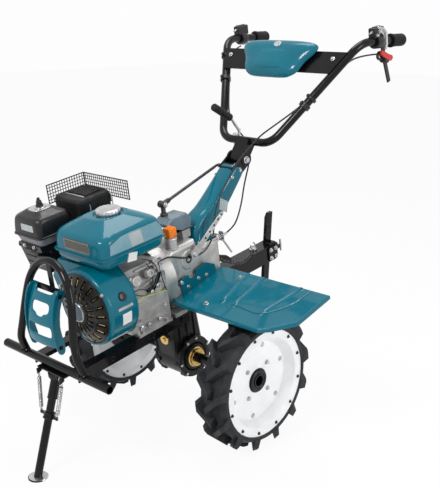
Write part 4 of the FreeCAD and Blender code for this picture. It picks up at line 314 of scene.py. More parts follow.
# %% The main finishes
finish("teal_paint", (0.0, 0.116, 0.170), (0.0, 0.130, 0.187), patch=9, rough=(0.20, 0.28), grain=420,
       depth=0.00002, coat=0.45, shine=0.08)
finish("teal_plastic", (0.0, 0.118, 0.172), (0.0, 0.132, 0.189), patch=9, rough=(0.22, 0.30), grain=500,
       depth=0.00002, coat=0.45, shine=0.08)
finish("rim_paint", (0.86, 0.87, 0.88), (0.92, 0.93, 0.94), patch=22, rough=(0.34, 0.5), grain=260,
       depth=0.00006, coat=0.25)
finish("black_paint", (0.003, 0.003, 0.004), (0.006, 0.006, 0.007), patch=20, rough=(0.16, 0.26),
       grain=650, depth=0.00002, coat=0.3, shine=0.08)
finish("tyre", (0.014, 0.015, 0.017), (0.034, 0.036, 0.040), patch=30, rough=(0.55, 0.74), grain=1500,
       depth=0.00012, shine=0.25)
finish("cast_alloy", (0.34, 0.335, 0.325), (0.56, 0.55, 0.54), patch=26, rough=(0.36, 0.52), grain=1100,
       depth=0.00014, metallic=0.7)
finish("case_iron", (0.005, 0.005, 0.006), (0.016, 0.016, 0.018), patch=30, rough=(0.3, 0.45),
       grain=900, depth=0.00018, coat=0.1, shine=0.2)
finish("brass_part", (0.60, 0.38, 0.10), (0.76, 0.55, 0.22), patch=40, rough=(0.2, 0.34), grain=700,
       depth=0.00004, metallic=1.0)
finish("orange_plastic", (0.86, 0.19, 0.006), (0.94, 0.25, 0.01), patch=40, rough=(0.34, 0.44),
       grain=800, depth=0.00004, shine=0.3)
finish("steel", (0.42, 0.42, 0.43), (0.62, 0.62, 0.63), patch=50, rough=(0.2, 0.36), grain=900,
       depth=0.00004, metallic=0.95)
finish("dark_steel", (0.045, 0.045, 0.048), (0.085, 0.085, 0.09), patch=50, rough=(0.3, 0.44),
       grain=900, depth=0.00005, metallic=0.7, shine=0.3)
finish("black_plastic", (0.005, 0.005, 0.006), (0.012, 0.012, 0.013), patch=30, rough=(0.32, 0.46),
       grain=1800, depth=0.00005, coat=0.2, shine=0.3)
finish("grey_plastic", (0.24, 0.25, 0.27), (0.32, 0.33, 0.35), patch=30, rough=(0.45, 0.6), grain=1600,
       depth=0.00006, shine=0.3)
finish("blue_grey_metal", (0.10, 0.15, 0.19), (0.15, 0.21, 0.25), patch=24, rough=(0.28, 0.42),
       grain=700, depth=0.00008, metallic=0.25, coat=0.2)
finish("grip_rubber", (0.005, 0.005, 0.006), (0.012, 0.012, 0.013), patch=40, rough=(0.5, 0.66),
       grain=1400, depth=0.0001, shine=0.25)
finish("hot_metal", (0.004, 0.004, 0.004), (0.012, 0.012, 0.012), patch=26, rough=(0.4, 0.58),
       grain=1200, depth=0.0001, shine=0.2)
print(len(FINISH), "finishes")

# %% [markdown]
# ## Dressing the solids
#
# The record that came with the model names each solid's finish, so the first dressing is one loop.
# A list written out here would go out of date. A solid keeps its mesh, and only its material slot
# changes. Two are dressed darker than it says, as the intake box and the shift rods are on the real
# machine.

# %% Give each solid its finish
finish_of = {row["node"]: row["material_slot"] for row in frame["record"]["subparts"]}
finish_of["carburettor"] = "black_plastic"
finish_of["shift_linkage"] = "dark_steel"
for name, solid in solids.items():
    solid.data.materials.clear()
    solid.data.materials.append(FINISH[finish_of[name]])
print("dressed", len(finish_of), "solids")

# %% [markdown]
# ## Tools for small parts
#
# Bolts, hubs and caps are turned on a lathe, so one helper spins a profile round an axis. Wires and
# rods are a ring of points that travels along a path. Plates are an outline given some thickness.
# Blender's bmesh module builds all three from single points and faces, which leaves clean meshes
# and lets many bolts share one object. First comes what they all use: two directions round an axis,
# and the faces between two rings of points.

# %% Rings and skins
FULL_TURN = 2.0 * math.pi


def across(along):
    """Two directions that are square to along and to each other."""
    helper = Vector((0, 0, 1)) if abs(along.z) < 0.9 else Vector((1, 0, 0))
    first = along.cross(helper).normalized()
    return first, along.cross(first)


def skin(shape, ring, next_ring):
    """Faces between two rings of points, either of which may be a single point."""
    count = max(len(ring), len(next_ring))
    for k in range(count):
        k_next = (k + 1) % count
        if len(ring) == 1:
            shape.faces.new((ring[0], next_ring[k_next], next_ring[k]))
        elif len(next_ring) == 1:
            shape.faces.new((ring[k], ring[k_next], next_ring[0]))
        else:
            shape.faces.new((ring[k], ring[k_next], next_ring[k_next], next_ring[k]))


def skin_stack(shape, rings, top=True):
    """Skins a stack of rings and closes its foot and, if asked, its top."""
    for ring, next_ring in zip(rings, rings[1:]):
        skin(shape, ring, next_ring)
    shape.faces.new(rings[0])
    if top:
        shape.faces.new(rings[-1])


print("rings and skins ready")

# %% [markdown]
# A turned form has flat ends, and a collar has a hole. Blender's screw modifier or its cylinders
# could make both. A profile of distance and radius says the same in one line, and it can stand on
# any axis.

# %% Turned forms
def add_turned(shape, profile, place, along, sides=24, turn=0.0):
    """A turned form; profile holds pairs of a distance along the axis and the radius there."""
    place, along = Vector(place), Vector(along).normalized()
    first, second = across(along)
    rings = []
    for distance, radius in profile:
        centre = place + along * distance
        angles = [turn + FULL_TURN * k / sides for k in range(sides)] if radius > 0 else []
        ring = [shape.verts.new(centre + (first * math.cos(a) + second * math.sin(a)) * radius)
                for a in angles]
        rings.append(ring or [shape.verts.new(centre)])
    for ring, next_ring in zip(rings, rings[1:]):
        skin(shape, ring, next_ring)
    for ring in (rings[0], rings[-1]):
        if len(ring) > 2:
            shape.faces.new(ring)


def add_collar(shape, profile, place, along, sides=32):
    """A turned ring with a hole: the profile's last point joins its first."""
    place, along = Vector(place), Vector(along).normalized()
    first, second = across(along)
    rings = []
    for distance, radius in profile:
        centre = place + along * distance
        angles = [FULL_TURN * k / sides for k in range(sides)]
        rings.append([shape.verts.new(centre + (first * math.cos(a) + second * math.sin(a)) * radius)
                      for a in angles])
    for k, ring in enumerate(rings):
        skin(shape, ring, rings[(k + 1) % len(rings)])


print("turned forms ready")

# %% [markdown]
# A rod follows a path, and a plate is an outline with thickness. Curves with a bevel, or extruded
# faces, could give the same. These helpers only add points and faces to a shape, so that several
# rods and plates can be one piece.

# %% Rods and plates
def add_rod(shape, points, radius, sides=8):
    """A round rod along a path; the ring of points keeps its twist from one point to the next."""
    points = [Vector(point) for point in points]
    first, previous = None, None
    for k, point in enumerate(points):
        along = (points[min(k + 1, len(points) - 1)] - points[max(k - 1, 0)]).normalized()
        first = across(along)[0] if first is None else (first - along * first.dot(along)).normalized()
        second = along.cross(first)
        ring = [shape.verts.new(point + (first * math.cos(FULL_TURN * j / sides)
                                         + second * math.sin(FULL_TURN * j / sides)) * radius)
                for j in range(sides)]
        if previous:
            skin(shape, previous, ring)
        else:
            shape.faces.new(ring)
        previous = ring
    shape.faces.new(previous)


def add_slab(shape, outline, origin, right, up, low, high):
    """A plate: the outline's pairs run along right and up, and it is thick from low to high."""
    origin, right, up = Vector(origin), Vector(right).normalized(), Vector(up).normalized()
    out = right.cross(up)
    flat = [origin + right * u + up * v for u, v in outline]
    lower = [shape.verts.new(point + out * low) for point in flat]
    upper = [shape.verts.new(point + out * high) for point in flat]
    shape.faces.new(lower)
    shape.faces.new(upper)
    skin(shape, lower, upper)


def add_side_plate(shape, outline, y, low, high):
    """A plate that is upright along the machine; its outline's pairs are how far back and how high."""
    add_slab(shape, outline, (0, y, 0), (-1, 0, 0), (0, 0, 1), low, high)


def rounded_outline(width, height, radius, steps=4, middle=(0.0, 0.0)):
    """A rectangle with round corners, as pairs."""
    outline = []
    for corner, (sign_u, sign_v) in enumerate(((1, 1), (-1, 1), (-1, -1), (1, -1))):
        for step in range(steps + 1):
            angle = math.pi / 2 * (corner + step / steps)
            outline.append((middle[0] + sign_u * (width / 2 - radius) + radius * math.cos(angle),
                            middle[1] + sign_v * (height / 2 - radius) + radius * math.sin(angle)))
    return outline


print("rods and plates ready")

# %% [markdown]
# A bolt is a low washer under a chamfered head with six sides. Real bolts come in sizes that keep
# their proportions, so one number, the width across the flats, gives all the others.

# %% Bolts
WASHER_HEIGHT, WASHER_FOOT, WASHER_TOP = 0.12, 1.35, 1.28
HEAD_HEIGHT, HEAD_CHAMFER = 0.5, 0.84


def add_bolt(shape, place, along, across_flats, washer=True, turn=0.3):
    """A hexagon head with a chamfer, on a washer."""
    size = across_flats / math.sqrt(3)
    rise = 0.0
    if washer:
        rise = across_flats * WASHER_HEIGHT
        add_turned(shape, [(-0.5, size * WASHER_FOOT), (rise * 0.8, size * WASHER_FOOT),
                           (rise, size * WASHER_TOP)], place, along, 18)
    head = across_flats * HEAD_HEIGHT
    add_turned(shape, [(rise - 0.3, size), (rise + head * HEAD_CHAMFER, size),
                       (rise + head, size * HEAD_CHAMFER)], place, along, 6, turn)


print("bolts ready")

# %% [markdown]
# ## From a loose shape to a piece
#
# A finished piece needs four things: its mesh in place, edges that shade sharp where two faces
# meet at a real corner, its finish, and the body that carries it. One function does all four, so
# that no piece can be forgotten when a joint moves.

# %% The piece maker
SHARP_CORNER = math.radians(32.0)


def loose_object(name, shape, coat_of, matrix):
    """Turns a bmesh into a smooth object with a finish; it doesn't ride on a body yet."""
    bmesh.ops.recalc_face_normals(shape, faces=shape.faces)
    mesh = bpy.data.meshes.new(name)
    shape.to_mesh(mesh)
    shape.free()
    mesh.transform(matrix)
    mesh.shade_smooth()
    made = bpy.data.objects.new(name, mesh)
    bpy.context.scene.collection.objects.link(made)
    mesh.materials.append(FINISH[coat_of])
    return made


def piece(name, shape, coat_of, body="root", matrix=CHASSIS, edge=0.0):
    """Turns a bmesh, drawn in millimetres, into an object that rides on a body."""
    made = loose_object(name, shape, coat_of, matrix)
    made.data.set_sharp_from_angle(angle=SHARP_CORNER)
    if edge:
        soft = made.modifiers.new("soft_edges", "BEVEL")
        soft.width = edge * MILLIMETRE
        soft.segments = 2
        soft.limit_method = "ANGLE"
        soft.angle_limit = SHARP_CORNER
    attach(made, body)
    print(name, len(made.data.polygons), "faces on", body)
    return made


def round_off(made):
    """Rounds a coarse moulded form with a subdivision surface."""
    rounder = made.modifiers.new("smooth", "SUBSURF")
    rounder.levels = rounder.render_levels = 2


print("piece maker ready")

# %% [markdown]
# ## Wheels
#
# Each rim is two pressed half dishes. Twelve small screws hold their flanges together, so they
# show on both faces. An array modifier could set them round the circle, but a loop can also give
# each its own turn. The wheels are level, so these pieces take the matrix without the lean, and
# each rides on its wheel.

# %% Rim screws
WHEELS = (("wheel_left", 1), ("wheel_right", -1))
RIM_FACE, RIM_BACK, DISH_FLOOR, HUB_END = 332.0, 246.0, 302.0, 304.0
FLANGE_MIDDLE, SCREW_START, BACK_TWIST, SCREW_SIZE = 148.0, 10.0, 1.8, 6.5


def on_circle(radius, degrees, y):
    """A place round the axle, from its radius and its angle from straight ahead, going up."""
    angle = math.radians(degrees)
    return radius * math.cos(angle), y, radius * math.sin(angle)


for wheel, side in WHEELS:
    screws = bmesh.new()
    for count in range(12):
        angle = SCREW_START + 30 * count
        front = on_circle(FLANGE_MIDDLE, angle, side * RIM_FACE)
        back = on_circle(FLANGE_MIDDLE, angle + BACK_TWIST, side * RIM_BACK)
        add_bolt(screws, front, (0, side, 0), SCREW_SIZE, turn=angle)
        add_bolt(screws, back, (0, -side, 0), SCREW_SIZE, turn=angle)
    piece(wheel + "_rim_screws", screws, "black_plastic", wheel, LEVEL)

# %% [markdown]
# Inside the dish a stepped ring closes the hub, four bolts go into its flange, and six spot welds
# join the dish to the plate behind it. A weld could be painted on, but a turned ring one
# millimetre high, with a dent in its middle, catches the light as the real one does.

# %% Hub, hub bolts and spot welds
HUB_BOLT_CIRCLE, HUB_BOLT_START = 58, 40.75
WELD_CIRCLE, WELD_START = 105, 39.7
for wheel, side in WHEELS:
    out = (0, side, 0)
    hub = bmesh.new()
    add_collar(hub, [(-1, 33), (3, 33), (4.5, 31), (4.5, 25), (2.5, 22.5), (2.5, 20), (5, 19), (5, 15.5),
                     (-1, 15.5)], (0, side * HUB_END, 0), out, 40)
    add_collar(hub, [(-1, 36), (1.2, 36), (2, 35), (2, 33), (-1, 33)], (0, side * DISH_FLOOR, 0), out, 40)
    piece(wheel + "_hub_rings", hub, "case_iron", wheel, LEVEL)
    hub_bolts = bmesh.new()
    for count in range(4):
        spot = on_circle(HUB_BOLT_CIRCLE, HUB_BOLT_START + 90 * count, side * DISH_FLOOR)
        add_bolt(hub_bolts, spot, out, 9.5, turn=count)
    piece(wheel + "_hub_bolts", hub_bolts, "steel", wheel, LEVEL)
    welds = bmesh.new()
    for count in range(6):
        spot = on_circle(WELD_CIRCLE, WELD_START + 60 * count, side * DISH_FLOOR)
        add_turned(welds, [(-0.5, 8), (0.5, 7.6), (1.0, 6.4), (0.7, 4.0), (0.3, 0)], spot, out, 20)
    piece(wheel + "_spot_welds", welds, "steel", wheel, LEVEL)

# %% [markdown]
# ## Rolled rim edge and tyre bead
#
# The flange's outer edge is rolled, and the tyre's bead sits against it. Two thin rings show this
# on each face: a pale bead of steel, and a rubber lip just outside it. A bevel on the solids would
# give one soft edge there, but not the dark line between steel and rubber.

# %% Rolled edge and bead
for wheel, side in WHEELS:
    rolled = bmesh.new()
    lip = bmesh.new()
    for face, out in ((RIM_FACE, side), (RIM_BACK, -side)):
        add_collar(rolled, [(-1, 153.5), (1.4, 154), (2.2, 155.5), (1.4, 157), (-1, 157.4)],
                   (0, side * face, 0), (0, out, 0), 96)
        add_collar(lip, [(0, 157.6), (3.4, 158), (4.4, 160), (4.2, 163), (3.0, 165), (0, 165.5)],
                   (0, side * face, 0), (0, out, 0), 96)
    piece(wheel + "_rolled_edge", rolled, "rim_paint", wheel, LEVEL)
    piece(wheel + "_tyre_bead", lip, "tyre", wheel, LEVEL)

# %% [markdown]
# ## Control cables
#
# Two cables leave the hand levers, are clipped to the handlebar's legs, and run beside the column
# to the engine and to the clutch. The solids draw them as straight runs with bends, but a real
# cable is springy and has no corners. A NURBS curve pulls a smooth line from the same points.

# %% Smooth lines
THROTTLE_ROUTE = [(-720, 264, 774), (-662, 256, 782), (-597, 239, 778), (-556, 210, 733), (-510, 171, 693),
                  (-460, 138, 654), (-400, 103, 620), (-347, 72, 590), (-285, 47, 536), (-248, 40, 500),
                  (-210, 38, 462), (-178, 41, 430), (-142, 58, 398), (-124, 66, 354), (-93, 68, 324),
                  (-50, 71, 316), (10, 71, 330), (66, 75, 359), (100, 82, 363), (136, 84, 363)]
CLUTCH_ROUTE = [(-684, -266, 792), (-590, -229, 792), (-543, -196, 742), (-484, -156, 680),
                (-433, -118, 621), (-424, -80, 584), (-422, -46, 556), (-404, -16, 524),
                (-370, 8, 494), (-330, 28, 470), (-298, 42, 442), (-276, 51, 410),
                (-240, 60, 366), (-206, 66, 346), (-162, 67, 339)]
CABLE_RADIUS = 2.5
IN_PLACE = Matrix.Identity(4)


def smooth_line(points):
    """Points along a NURBS curve that the given points pull on, in metres on the leaning machine."""
    curve = bpy.data.curves.new("route", "CURVE")
    curve.dimensions = "3D"
    spline = curve.splines.new("NURBS")
    spline.points.add(len(points) - 1)
    for control, point in zip(spline.points, points):
        control.co = (*on_machine(*point), 1.0)
    spline.order_u = 3
    spline.use_endpoint_u = True
    spline.resolution_u = 6
    route = bpy.data.objects.new("route", curve)
    bpy.context.scene.collection.objects.link(route)
    bpy.context.view_layer.update()
    line = bpy.data.meshes.new_from_object(route)
    path = [vertex.co.copy() for vertex in line.vertices]
    bpy.data.objects.remove(route)
    bpy.data.curves.remove(curve)
    bpy.data.meshes.remove(line)
    return path


print("the cables have", len(THROTTLE_ROUTE), "and", len(CLUTCH_ROUTE), "points to follow")

# %% [markdown]
# The handlebar tilts while the engine end stays still. A stiff cable would tear off at one end.
# Here each cable is one round rod along its smooth line, baked into place, and it rides on no body.

# %% Smooth cables
def cable(name, points, replaced=()):
    """A round cable along the smooth line that its points pull on."""
    shape = bmesh.new()
    add_rod(shape, smooth_line(points), CABLE_RADIUS * MILLIMETRE, 10)
    made = loose_object(name, shape, "black_plastic", IN_PLACE)
    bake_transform(made)
    if replaced:
        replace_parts(made, *replaced)
    print(name, len(made.data.polygons), "faces, bends between the handlebar and the frame")


cable("throttle_cable", THROTTLE_ROUTE, ["control_cables"])
cable("clutch_cable", CLUTCH_ROUTE)

# %% [markdown]
# Where a cable ends, its sheath stops in a threaded adjuster with a lock nut, held by a small
# plate. The thread could be modelled turn by turn, but at this size it would only cost faces. The
# adjuster is a plain turned form about the last stretch of the route.

# %% Cable adjusters and brackets
ADJUSTER = [(-16, 0), (-16, 3.6), (0, 3.6), (0, 5.8), (5, 5.8), (5, 3.2), (16, 3.2), (17, 1.2), (34, 1.0)]
adjusters, brackets = bmesh.new(), bmesh.new()
for route in (THROTTLE_ROUTE, CLUTCH_ROUTE):
    end = Vector(route[-1])
    along = (end - Vector(route[-2])).normalized()
    add_turned(adjusters, ADJUSTER, end, along, 6)
    tab = rounded_outline(20, 26, 4, middle=(0, 4))
    add_slab(brackets, tab, end + along * 7, (0, 1, 0), (0, 0, 1), -1.2, 1.2)
piece("cable_adjusters", adjusters, "steel")
piece("cable_brackets", brackets, "steel")

# %% [markdown]
# ## Stand springs
#
# Two tension springs hold the front stand up or down past its middle. A tension spring is wound
# tight, with each end turned out into an eye. A screw modifier could wind it, but a rod along a
# helix also takes the two eyes. When the stand folds, the real spring swings back with the leg and
# stays hooked to the bracket. Here each spring is baked into place and rides on no body.

# %% Coil springs
SPRING_TOP, SPRING_LOW = Vector((473.0, 50.0, 144.0)), Vector((496.6, 34.8, 50.7))
COIL_RADIUS, WIRE_RADIUS, COIL_TURNS, COIL_STEPS = 4.6, 1.15, 36, 12
EYE_LENGTH, EYE_RADIUS = 7.0, 4.2


def spring(name, top, low):
    """A tension spring between two hooks, each given in the machine's millimetres."""
    along = (low - top).normalized()
    first, second = across(along)
    length = (low - top).length
    path = [top, top + along * EYE_LENGTH * 0.5]
    for step in range(COIL_TURNS * COIL_STEPS + 1):
        share = step / (COIL_TURNS * COIL_STEPS)
        angle = FULL_TURN * step / COIL_STEPS
        centre = top + along * (EYE_LENGTH + (length - 2 * EYE_LENGTH) * share)
        path.append(centre + (first * math.cos(angle) + second * math.sin(angle)) * COIL_RADIUS)
    path += [low - along * EYE_LENGTH * 0.5, low]
    shape = bmesh.new()
    add_rod(shape, path, WIRE_RADIUS, 6)
    for end in (top, low):
        angles = [FULL_TURN * k / 14 for k in range(15)]
        ring = [end + (first * math.cos(a) + along * math.sin(a)) * EYE_RADIUS for a in angles]
        add_rod(shape, ring, WIRE_RADIUS, 6)
    made = loose_object(name, shape, "steel", CHASSIS)
    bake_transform(made)
    print(name, COIL_TURNS, "turns,", len(made.data.polygons), "faces")
    return made


left_spring = spring("stand_spring_left", SPRING_TOP, SPRING_LOW)
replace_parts(left_spring, "stand_springs")
spring("stand_spring_right", Vector((SPRING_TOP.x, -SPRING_TOP.y, SPRING_TOP.z)),
       Vector((SPRING_LOW.x, -SPRING_LOW.y, SPRING_LOW.z)))

# %% [markdown]
# ## Moulded shells
#
# The tank and the air cleaner are pressed or moulded: flat walls that roll over into a crown. Each
# is a stack of level outlines with round corners, all with the same number of points, so that
# neighbours join corner to corner. A corner cutter first rounds the stack's heights and insets, and
# with them the shoulders. A bevelled box has one radius, and these shoulders grow softer as they
# rise.

# %% Stacks of rounded outlines
def cut_corners(levels, times=2):
    """Chaikin's rule: each inner corner of a list of tuples becomes two, a quarter in from it."""
    for _ in range(times):
        smooth = [levels[0]]
        for before, after in zip(levels, levels[1:]):
            smooth.append(tuple(0.75 * a + 0.25 * b for a, b in zip(before, after)))
            smooth.append(tuple(0.25 * a + 0.75 * b for a, b in zip(before, after)))
        levels = smooth + [levels[-1]]
    return levels


def ring_at(shape, centre, level, steps=6):
    """Points round a rounded rectangle; level is its height, length, width and corner radius."""
    z, length, width, radius = level
    return [shape.verts.new((centre[0] + u, centre[1] + v, z))
            for u, v in rounded_outline(length, width, radius, steps)]


def add_shell(shape, centre, levels, steps=6, top=True):
    """A closed stack of levels; returns its uppermost ring."""
    rings = [ring_at(shape, centre, level, steps) for level in levels]
    skin_stack(shape, rings, top)
    return rings[-1]


print("shell maker ready")

# %% [markdown]
# ## Fuel tank
#
# Two pressed halves meet in a seam with a narrow flange. The upper half rises almost straight,
# rolls over a soft shoulder and ends in a flat crown with a round recess for the cap. The recess
# is a circle joined to the crown's outline, point by point.

# %% Tank
TANK_CENTRE, TANK_LENGTH, TANK_WIDTH, SEAM_Z = (193.0, -17.0), 234.0, 226.0, 432.3
CAP_CENTRE, RECESS_RADIUS = (186.0, -13.0), 42.0


def tank_level(height, inset, corner):
    """A level of the tank, from its height over the seam and how far its walls stand in."""
    return SEAM_Z + height, TANK_LENGTH - 2 * inset, TANK_WIDTH - 2 * inset, corner


lower_half = cut_corners([tank_level(-33, 40, 20), tank_level(-33, 20, 22), tank_level(-19, 7, 26),
                          tank_level(0, 5, 26)])
seam = [tank_level(0, 5, 26), tank_level(0, 0.6, 26), tank_level(0.8, 0, 26), tank_level(3.2, 0, 26),
        tank_level(4, 0.6, 26), tank_level(4, 5, 26)]
upper_half = cut_corners([tank_level(4, 5, 26), tank_level(24, 6, 28), tank_level(52, 8, 34),
                          tank_level(66, 30, 40), tank_level(77, 50, 40), tank_level(82.6, 61, 38)])
tank = bmesh.new()
crown = add_shell(tank, TANK_CENTRE, lower_half + seam[1:] + upper_half[1:], top=False)
previous = crown
for drop, radius in ((0.0, 46.0), (0.3, 43.6), (1.4, 42.2), (3.6, RECESS_RADIUS), (5.0, 40.5)):
    ring = [tank.verts.new((CAP_CENTRE[0] + radius * math.cos(math.pi / 2 * (corner + step / 6)),
                            CAP_CENTRE[1] + radius * math.sin(math.pi / 2 * (corner + step / 6)),
                            SEAM_Z + 83.0 - drop)) for corner in range(4) for step in range(7)]
    skin(tank, previous, ring)
    previous = ring
tank.faces.new(previous)
bmesh.ops.remove_doubles(tank, verts=tank.verts, dist=0.01)
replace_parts(piece("fuel_tank_shell", tank, "teal_paint"), "fuel_tank")

# %% [markdown]
# The cap is bright steel with sixteen finger grooves round its skirt and a dished top. The grooves
# could be cut with booleans, one cylinder at a time. Here a cosine wave in the radius of each ring
# of points draws them all at once and leaves clean faces.

# %% Fuel cap
CAP_LOW, FLUTES = 510.3, 16
cap = bmesh.new()
cap_rings = []
for height, radius, wave in ((0, 33, 0), (2, 34.5, 0.3), (5, 35.4, 1.0), (13, 35.6, 1.0), (15.5, 34.4, 0.6),
                             (17.6, 30.5, 0.0), (17.2, 22, 0.0), (16.6, 19, 0.0), (16.6, 8, 0.0)):
    ring = []
    for k in range(FLUTES * 6):
        angle = FULL_TURN * k / (FLUTES * 6)
        reach = radius - 1.5 * wave * (1 + math.cos(FLUTES * angle)) / 2
        ring.append(cap.verts.new((CAP_CENTRE[0] + reach * math.cos(angle),
                                   CAP_CENTRE[1] + reach * math.sin(angle), CAP_LOW + height)))
    cap_rings.append(ring)
skin_stack(cap, cap_rings)
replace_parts(piece("fuel_cap_fluted", cap, "steel"), "fuel_cap")

# %% [markdown]
# ## Blank plates and stickers
#
# A real machine carries printed plates. Here each one is bare: a thin plate or film in its place,
# with its frame, its gloss and its rounded corners, and nothing printed on it. They need five
# finishes of their own, since no solid has them.

# %% Finishes for plates
finish("white_sticker", (0.74, 0.74, 0.73), (0.80, 0.80, 0.79), patch=30, rough=(0.32, 0.42), grain=900,
       depth=0.00001)
finish("dark_plate", (0.016, 0.015, 0.014), (0.028, 0.026, 0.024), patch=40, rough=(0.22, 0.34),
       grain=900, depth=0.00001, coat=0.3)
finish("bronze_trim", (0.30, 0.19, 0.12), (0.38, 0.26, 0.17), patch=40, rough=(0.24, 0.34), grain=700,
       depth=0.00002, metallic=0.9)
finish("pale_teal", (0.11, 0.27, 0.34), (0.19, 0.35, 0.41), patch=12, rough=(0.2, 0.32), grain=500,
       depth=0.00002, coat=0.4)
finish("grey_label", (0.33, 0.38, 0.40), (0.43, 0.47, 0.49), patch=26, rough=(0.3, 0.42), grain=900,
       depth=0.00001)
print("plate finishes ready")

# %% [markdown]
# The tank's front plate sits in a bronze frame, and its left wall carries a film panel with a grey
# label. An image on the wall could stand for them, but a thin slab in its own finish keeps its
# edge and its shine from every side.

# %% Plates on the tank
PLATE_LEAN = (0.03, 0, 1)
WALL_LEAN = (0, -0.037, 1)
front_plate = bmesh.new()
add_slab(front_plate, rounded_outline(106, 29, 4), (304.6, -16, 459), (0, 1, 0), PLATE_LEAN, -1.0, 0.5)
piece("tank_plate_frame", front_plate, "bronze_trim", edge=0.3)
front_face = bmesh.new()
add_slab(front_face, rounded_outline(101, 24, 3), (304.9, -16, 459), (0, 1, 0), PLATE_LEAN, -1.0, 0.6)
piece("tank_plate_face", front_face, "dark_plate", edge=0.2)
wall_sticker = bmesh.new()
add_side_plate(wall_sticker, [(-219, 430), (-190, 424), (-197, 402), (-228, 406)], 91.5, -3.0, 0.6)
piece("tank_wall_sticker", wall_sticker, "white_sticker")
WALL_Y = TANK_CENTRE[1] + TANK_WIDTH / 2 - 4.7
side_panel = bmesh.new()
film_outline = [(-280, 444), (-276, 470), (-258, 475), (-238, 482), (-207, 484), (-109, 482), (-94, 462),
                (-92, 440), (-180, 441)]
add_slab(side_panel, film_outline, (0, WALL_Y + 16.4, 0), (-1, 0, 0), WALL_LEAN, -0.8, 0.2)
piece("tank_side_panel", side_panel, "pale_teal")
side_label = bmesh.new()
label_outline = [(-211, 481), (-169, 480), (-163, 443), (-205, 443)]
add_slab(side_label, label_outline, (0, WALL_Y + 16.6, 0), (-1, 0, 0), WALL_LEAN, -0.8, 0.3)
piece("tank_side_label", side_label, "grey_label")
print("tank plates sit on the wall at y", WALL_Y)

# %% [markdown]
# ## Fan drum
#
# The recoil starter's cover has a centre disc with a bright rim, and the brass-coloured fan shows
# through its slots. The whole fan could be modelled, but only what shows is needed: three short
# bars for each of its twenty blades, just behind the slots.

# %% Recoil details
CRANK_Z, DRUM_RADIUS, COVER_FRONT, SCREW_CIRCLE = 288.0, 111.0, 347.0, 106.2
FAN_BLADES, FAN_TURN = 20, 0.157
disc_rim = bmesh.new()
add_collar(disc_rim, [(-2, 28.5), (2.5, 28.5), (4.0, 27.5), (4.6, 25.5), (3.4, 24.0), (-2, 24.0)],
           (COVER_FRONT + 2.0, 0, CRANK_Z), (1, 0, 0), 48)
piece("recoil_disc_rim", disc_rim, "steel")
disc = bmesh.new()
add_turned(disc, [(0, 24.2), (2.6, 24.2), (3.3, 20), (3.8, 10), (3.9, 0)], (COVER_FRONT + 2.0, 0, CRANK_Z),
           (1, 0, 0), 48)
piece("recoil_disc", disc, "blue_grey_metal")
fan = bmesh.new()
# A bar is its inner and outer radius, how far forward it lies, and how far its outer end drops back.
FAN_BARS = ((40.0, 50.0, 344.0, 0.5), (53.0, 60.0, 342.0, 2.0), (72.0, 88.0, 338.0, 9.0))
for count in range(FAN_BLADES):
    angle = FULL_TURN * (count + 0.5) / FAN_BLADES - FAN_TURN
    side_dir = Vector((0, math.cos(angle), math.sin(angle)))
    for inner, outer, depth, fall in FAN_BARS:
        start = Vector((depth, 0, CRANK_Z)) + side_dir * inner
        end = Vector((depth - fall, 0, CRANK_Z)) + side_dir * outer
        add_rod(fan, [start, end], 1.5, 6)
piece("flywheel_fan", fan, "brass_part")
screws = bmesh.new()
for degrees in (35, 155, 275):
    radians = math.radians(degrees)
    spot = (325.0, SCREW_CIRCLE * math.cos(radians), CRANK_Z + SCREW_CIRCLE * math.sin(radians))
    add_bolt(screws, spot, (1, 0, 0), 7.0)
piece("recoil_screws", screws, "steel")

# %% [markdown]
# The drum carries a rubber button, a bright strip, a sticker and a rolled back edge. A film that
# goes round a drum could be a flat plate wrapped on by a modifier. Here it is a grid in angle and
# length, laid on the radius twice, a film's thickness apart, and closed at its rims.

# %% Films round the drum
def add_wrap(shape, radius, x_start, x_end, from_degrees, to_degrees, thick=0.4, steps=8):
    """A curved patch on the drum; angles are measured from straight left, going up."""
    grids = []
    for reach in (radius, radius + thick):
        for x in (x_start, x_end):
            grids.append([])
            for step in range(steps + 1):
                angle = math.radians(from_degrees + (to_degrees - from_degrees) * step / steps)
                spot = (x, reach * math.cos(angle), CRANK_Z + reach * math.sin(angle))
                grids[-1].append(shape.verts.new(spot))
    inner_a, inner_b, outer_a, outer_b = grids
    for k in range(steps):
        shape.faces.new((outer_a[k], outer_b[k], outer_b[k + 1], outer_a[k + 1]))
        shape.faces.new((inner_a[k], inner_a[k + 1], inner_b[k + 1], inner_b[k]))
        shape.faces.new((inner_a[k], outer_a[k], outer_a[k + 1], inner_a[k + 1]))
        shape.faces.new((inner_b[k], inner_b[k + 1], outer_b[k + 1], outer_b[k]))
    for k in (0, steps):
        shape.faces.new((inner_a[k], inner_b[k], outer_b[k], outer_a[k]))


strip = bmesh.new()
add_wrap(strip, DRUM_RADIUS, 247, 297, 3.6, 7.6, 0.8, 3)
piece("drum_strip", strip, "steel")
sticker = bmesh.new()
add_wrap(sticker, DRUM_RADIUS, 255, 286, -21.0, -3.0, 0.4, 8)
piece("drum_sticker", sticker, "white_sticker")
button = bmesh.new()
button_angle = math.radians(21.5)
radial = Vector((0, math.cos(button_angle), math.sin(button_angle)))
add_turned(button, [(-2, 12.5), (1.5, 12.5), (3.4, 11.4), (4.2, 9.0), (4.4, 0)],
           Vector((273, 0, CRANK_Z)) + radial * DRUM_RADIUS, radial, 32)
piece("drum_button", button, "black_plastic")
back_edge = bmesh.new()
add_collar(back_edge, [(-3, DRUM_RADIUS - 1), (-3, DRUM_RADIUS + 1.4), (-1.4, DRUM_RADIUS + 2.2),
                       (0.6, DRUM_RADIUS + 1.4), (1.2, DRUM_RADIUS - 1)], (234, 0, CRANK_Z), (1, 0, 0), 72)
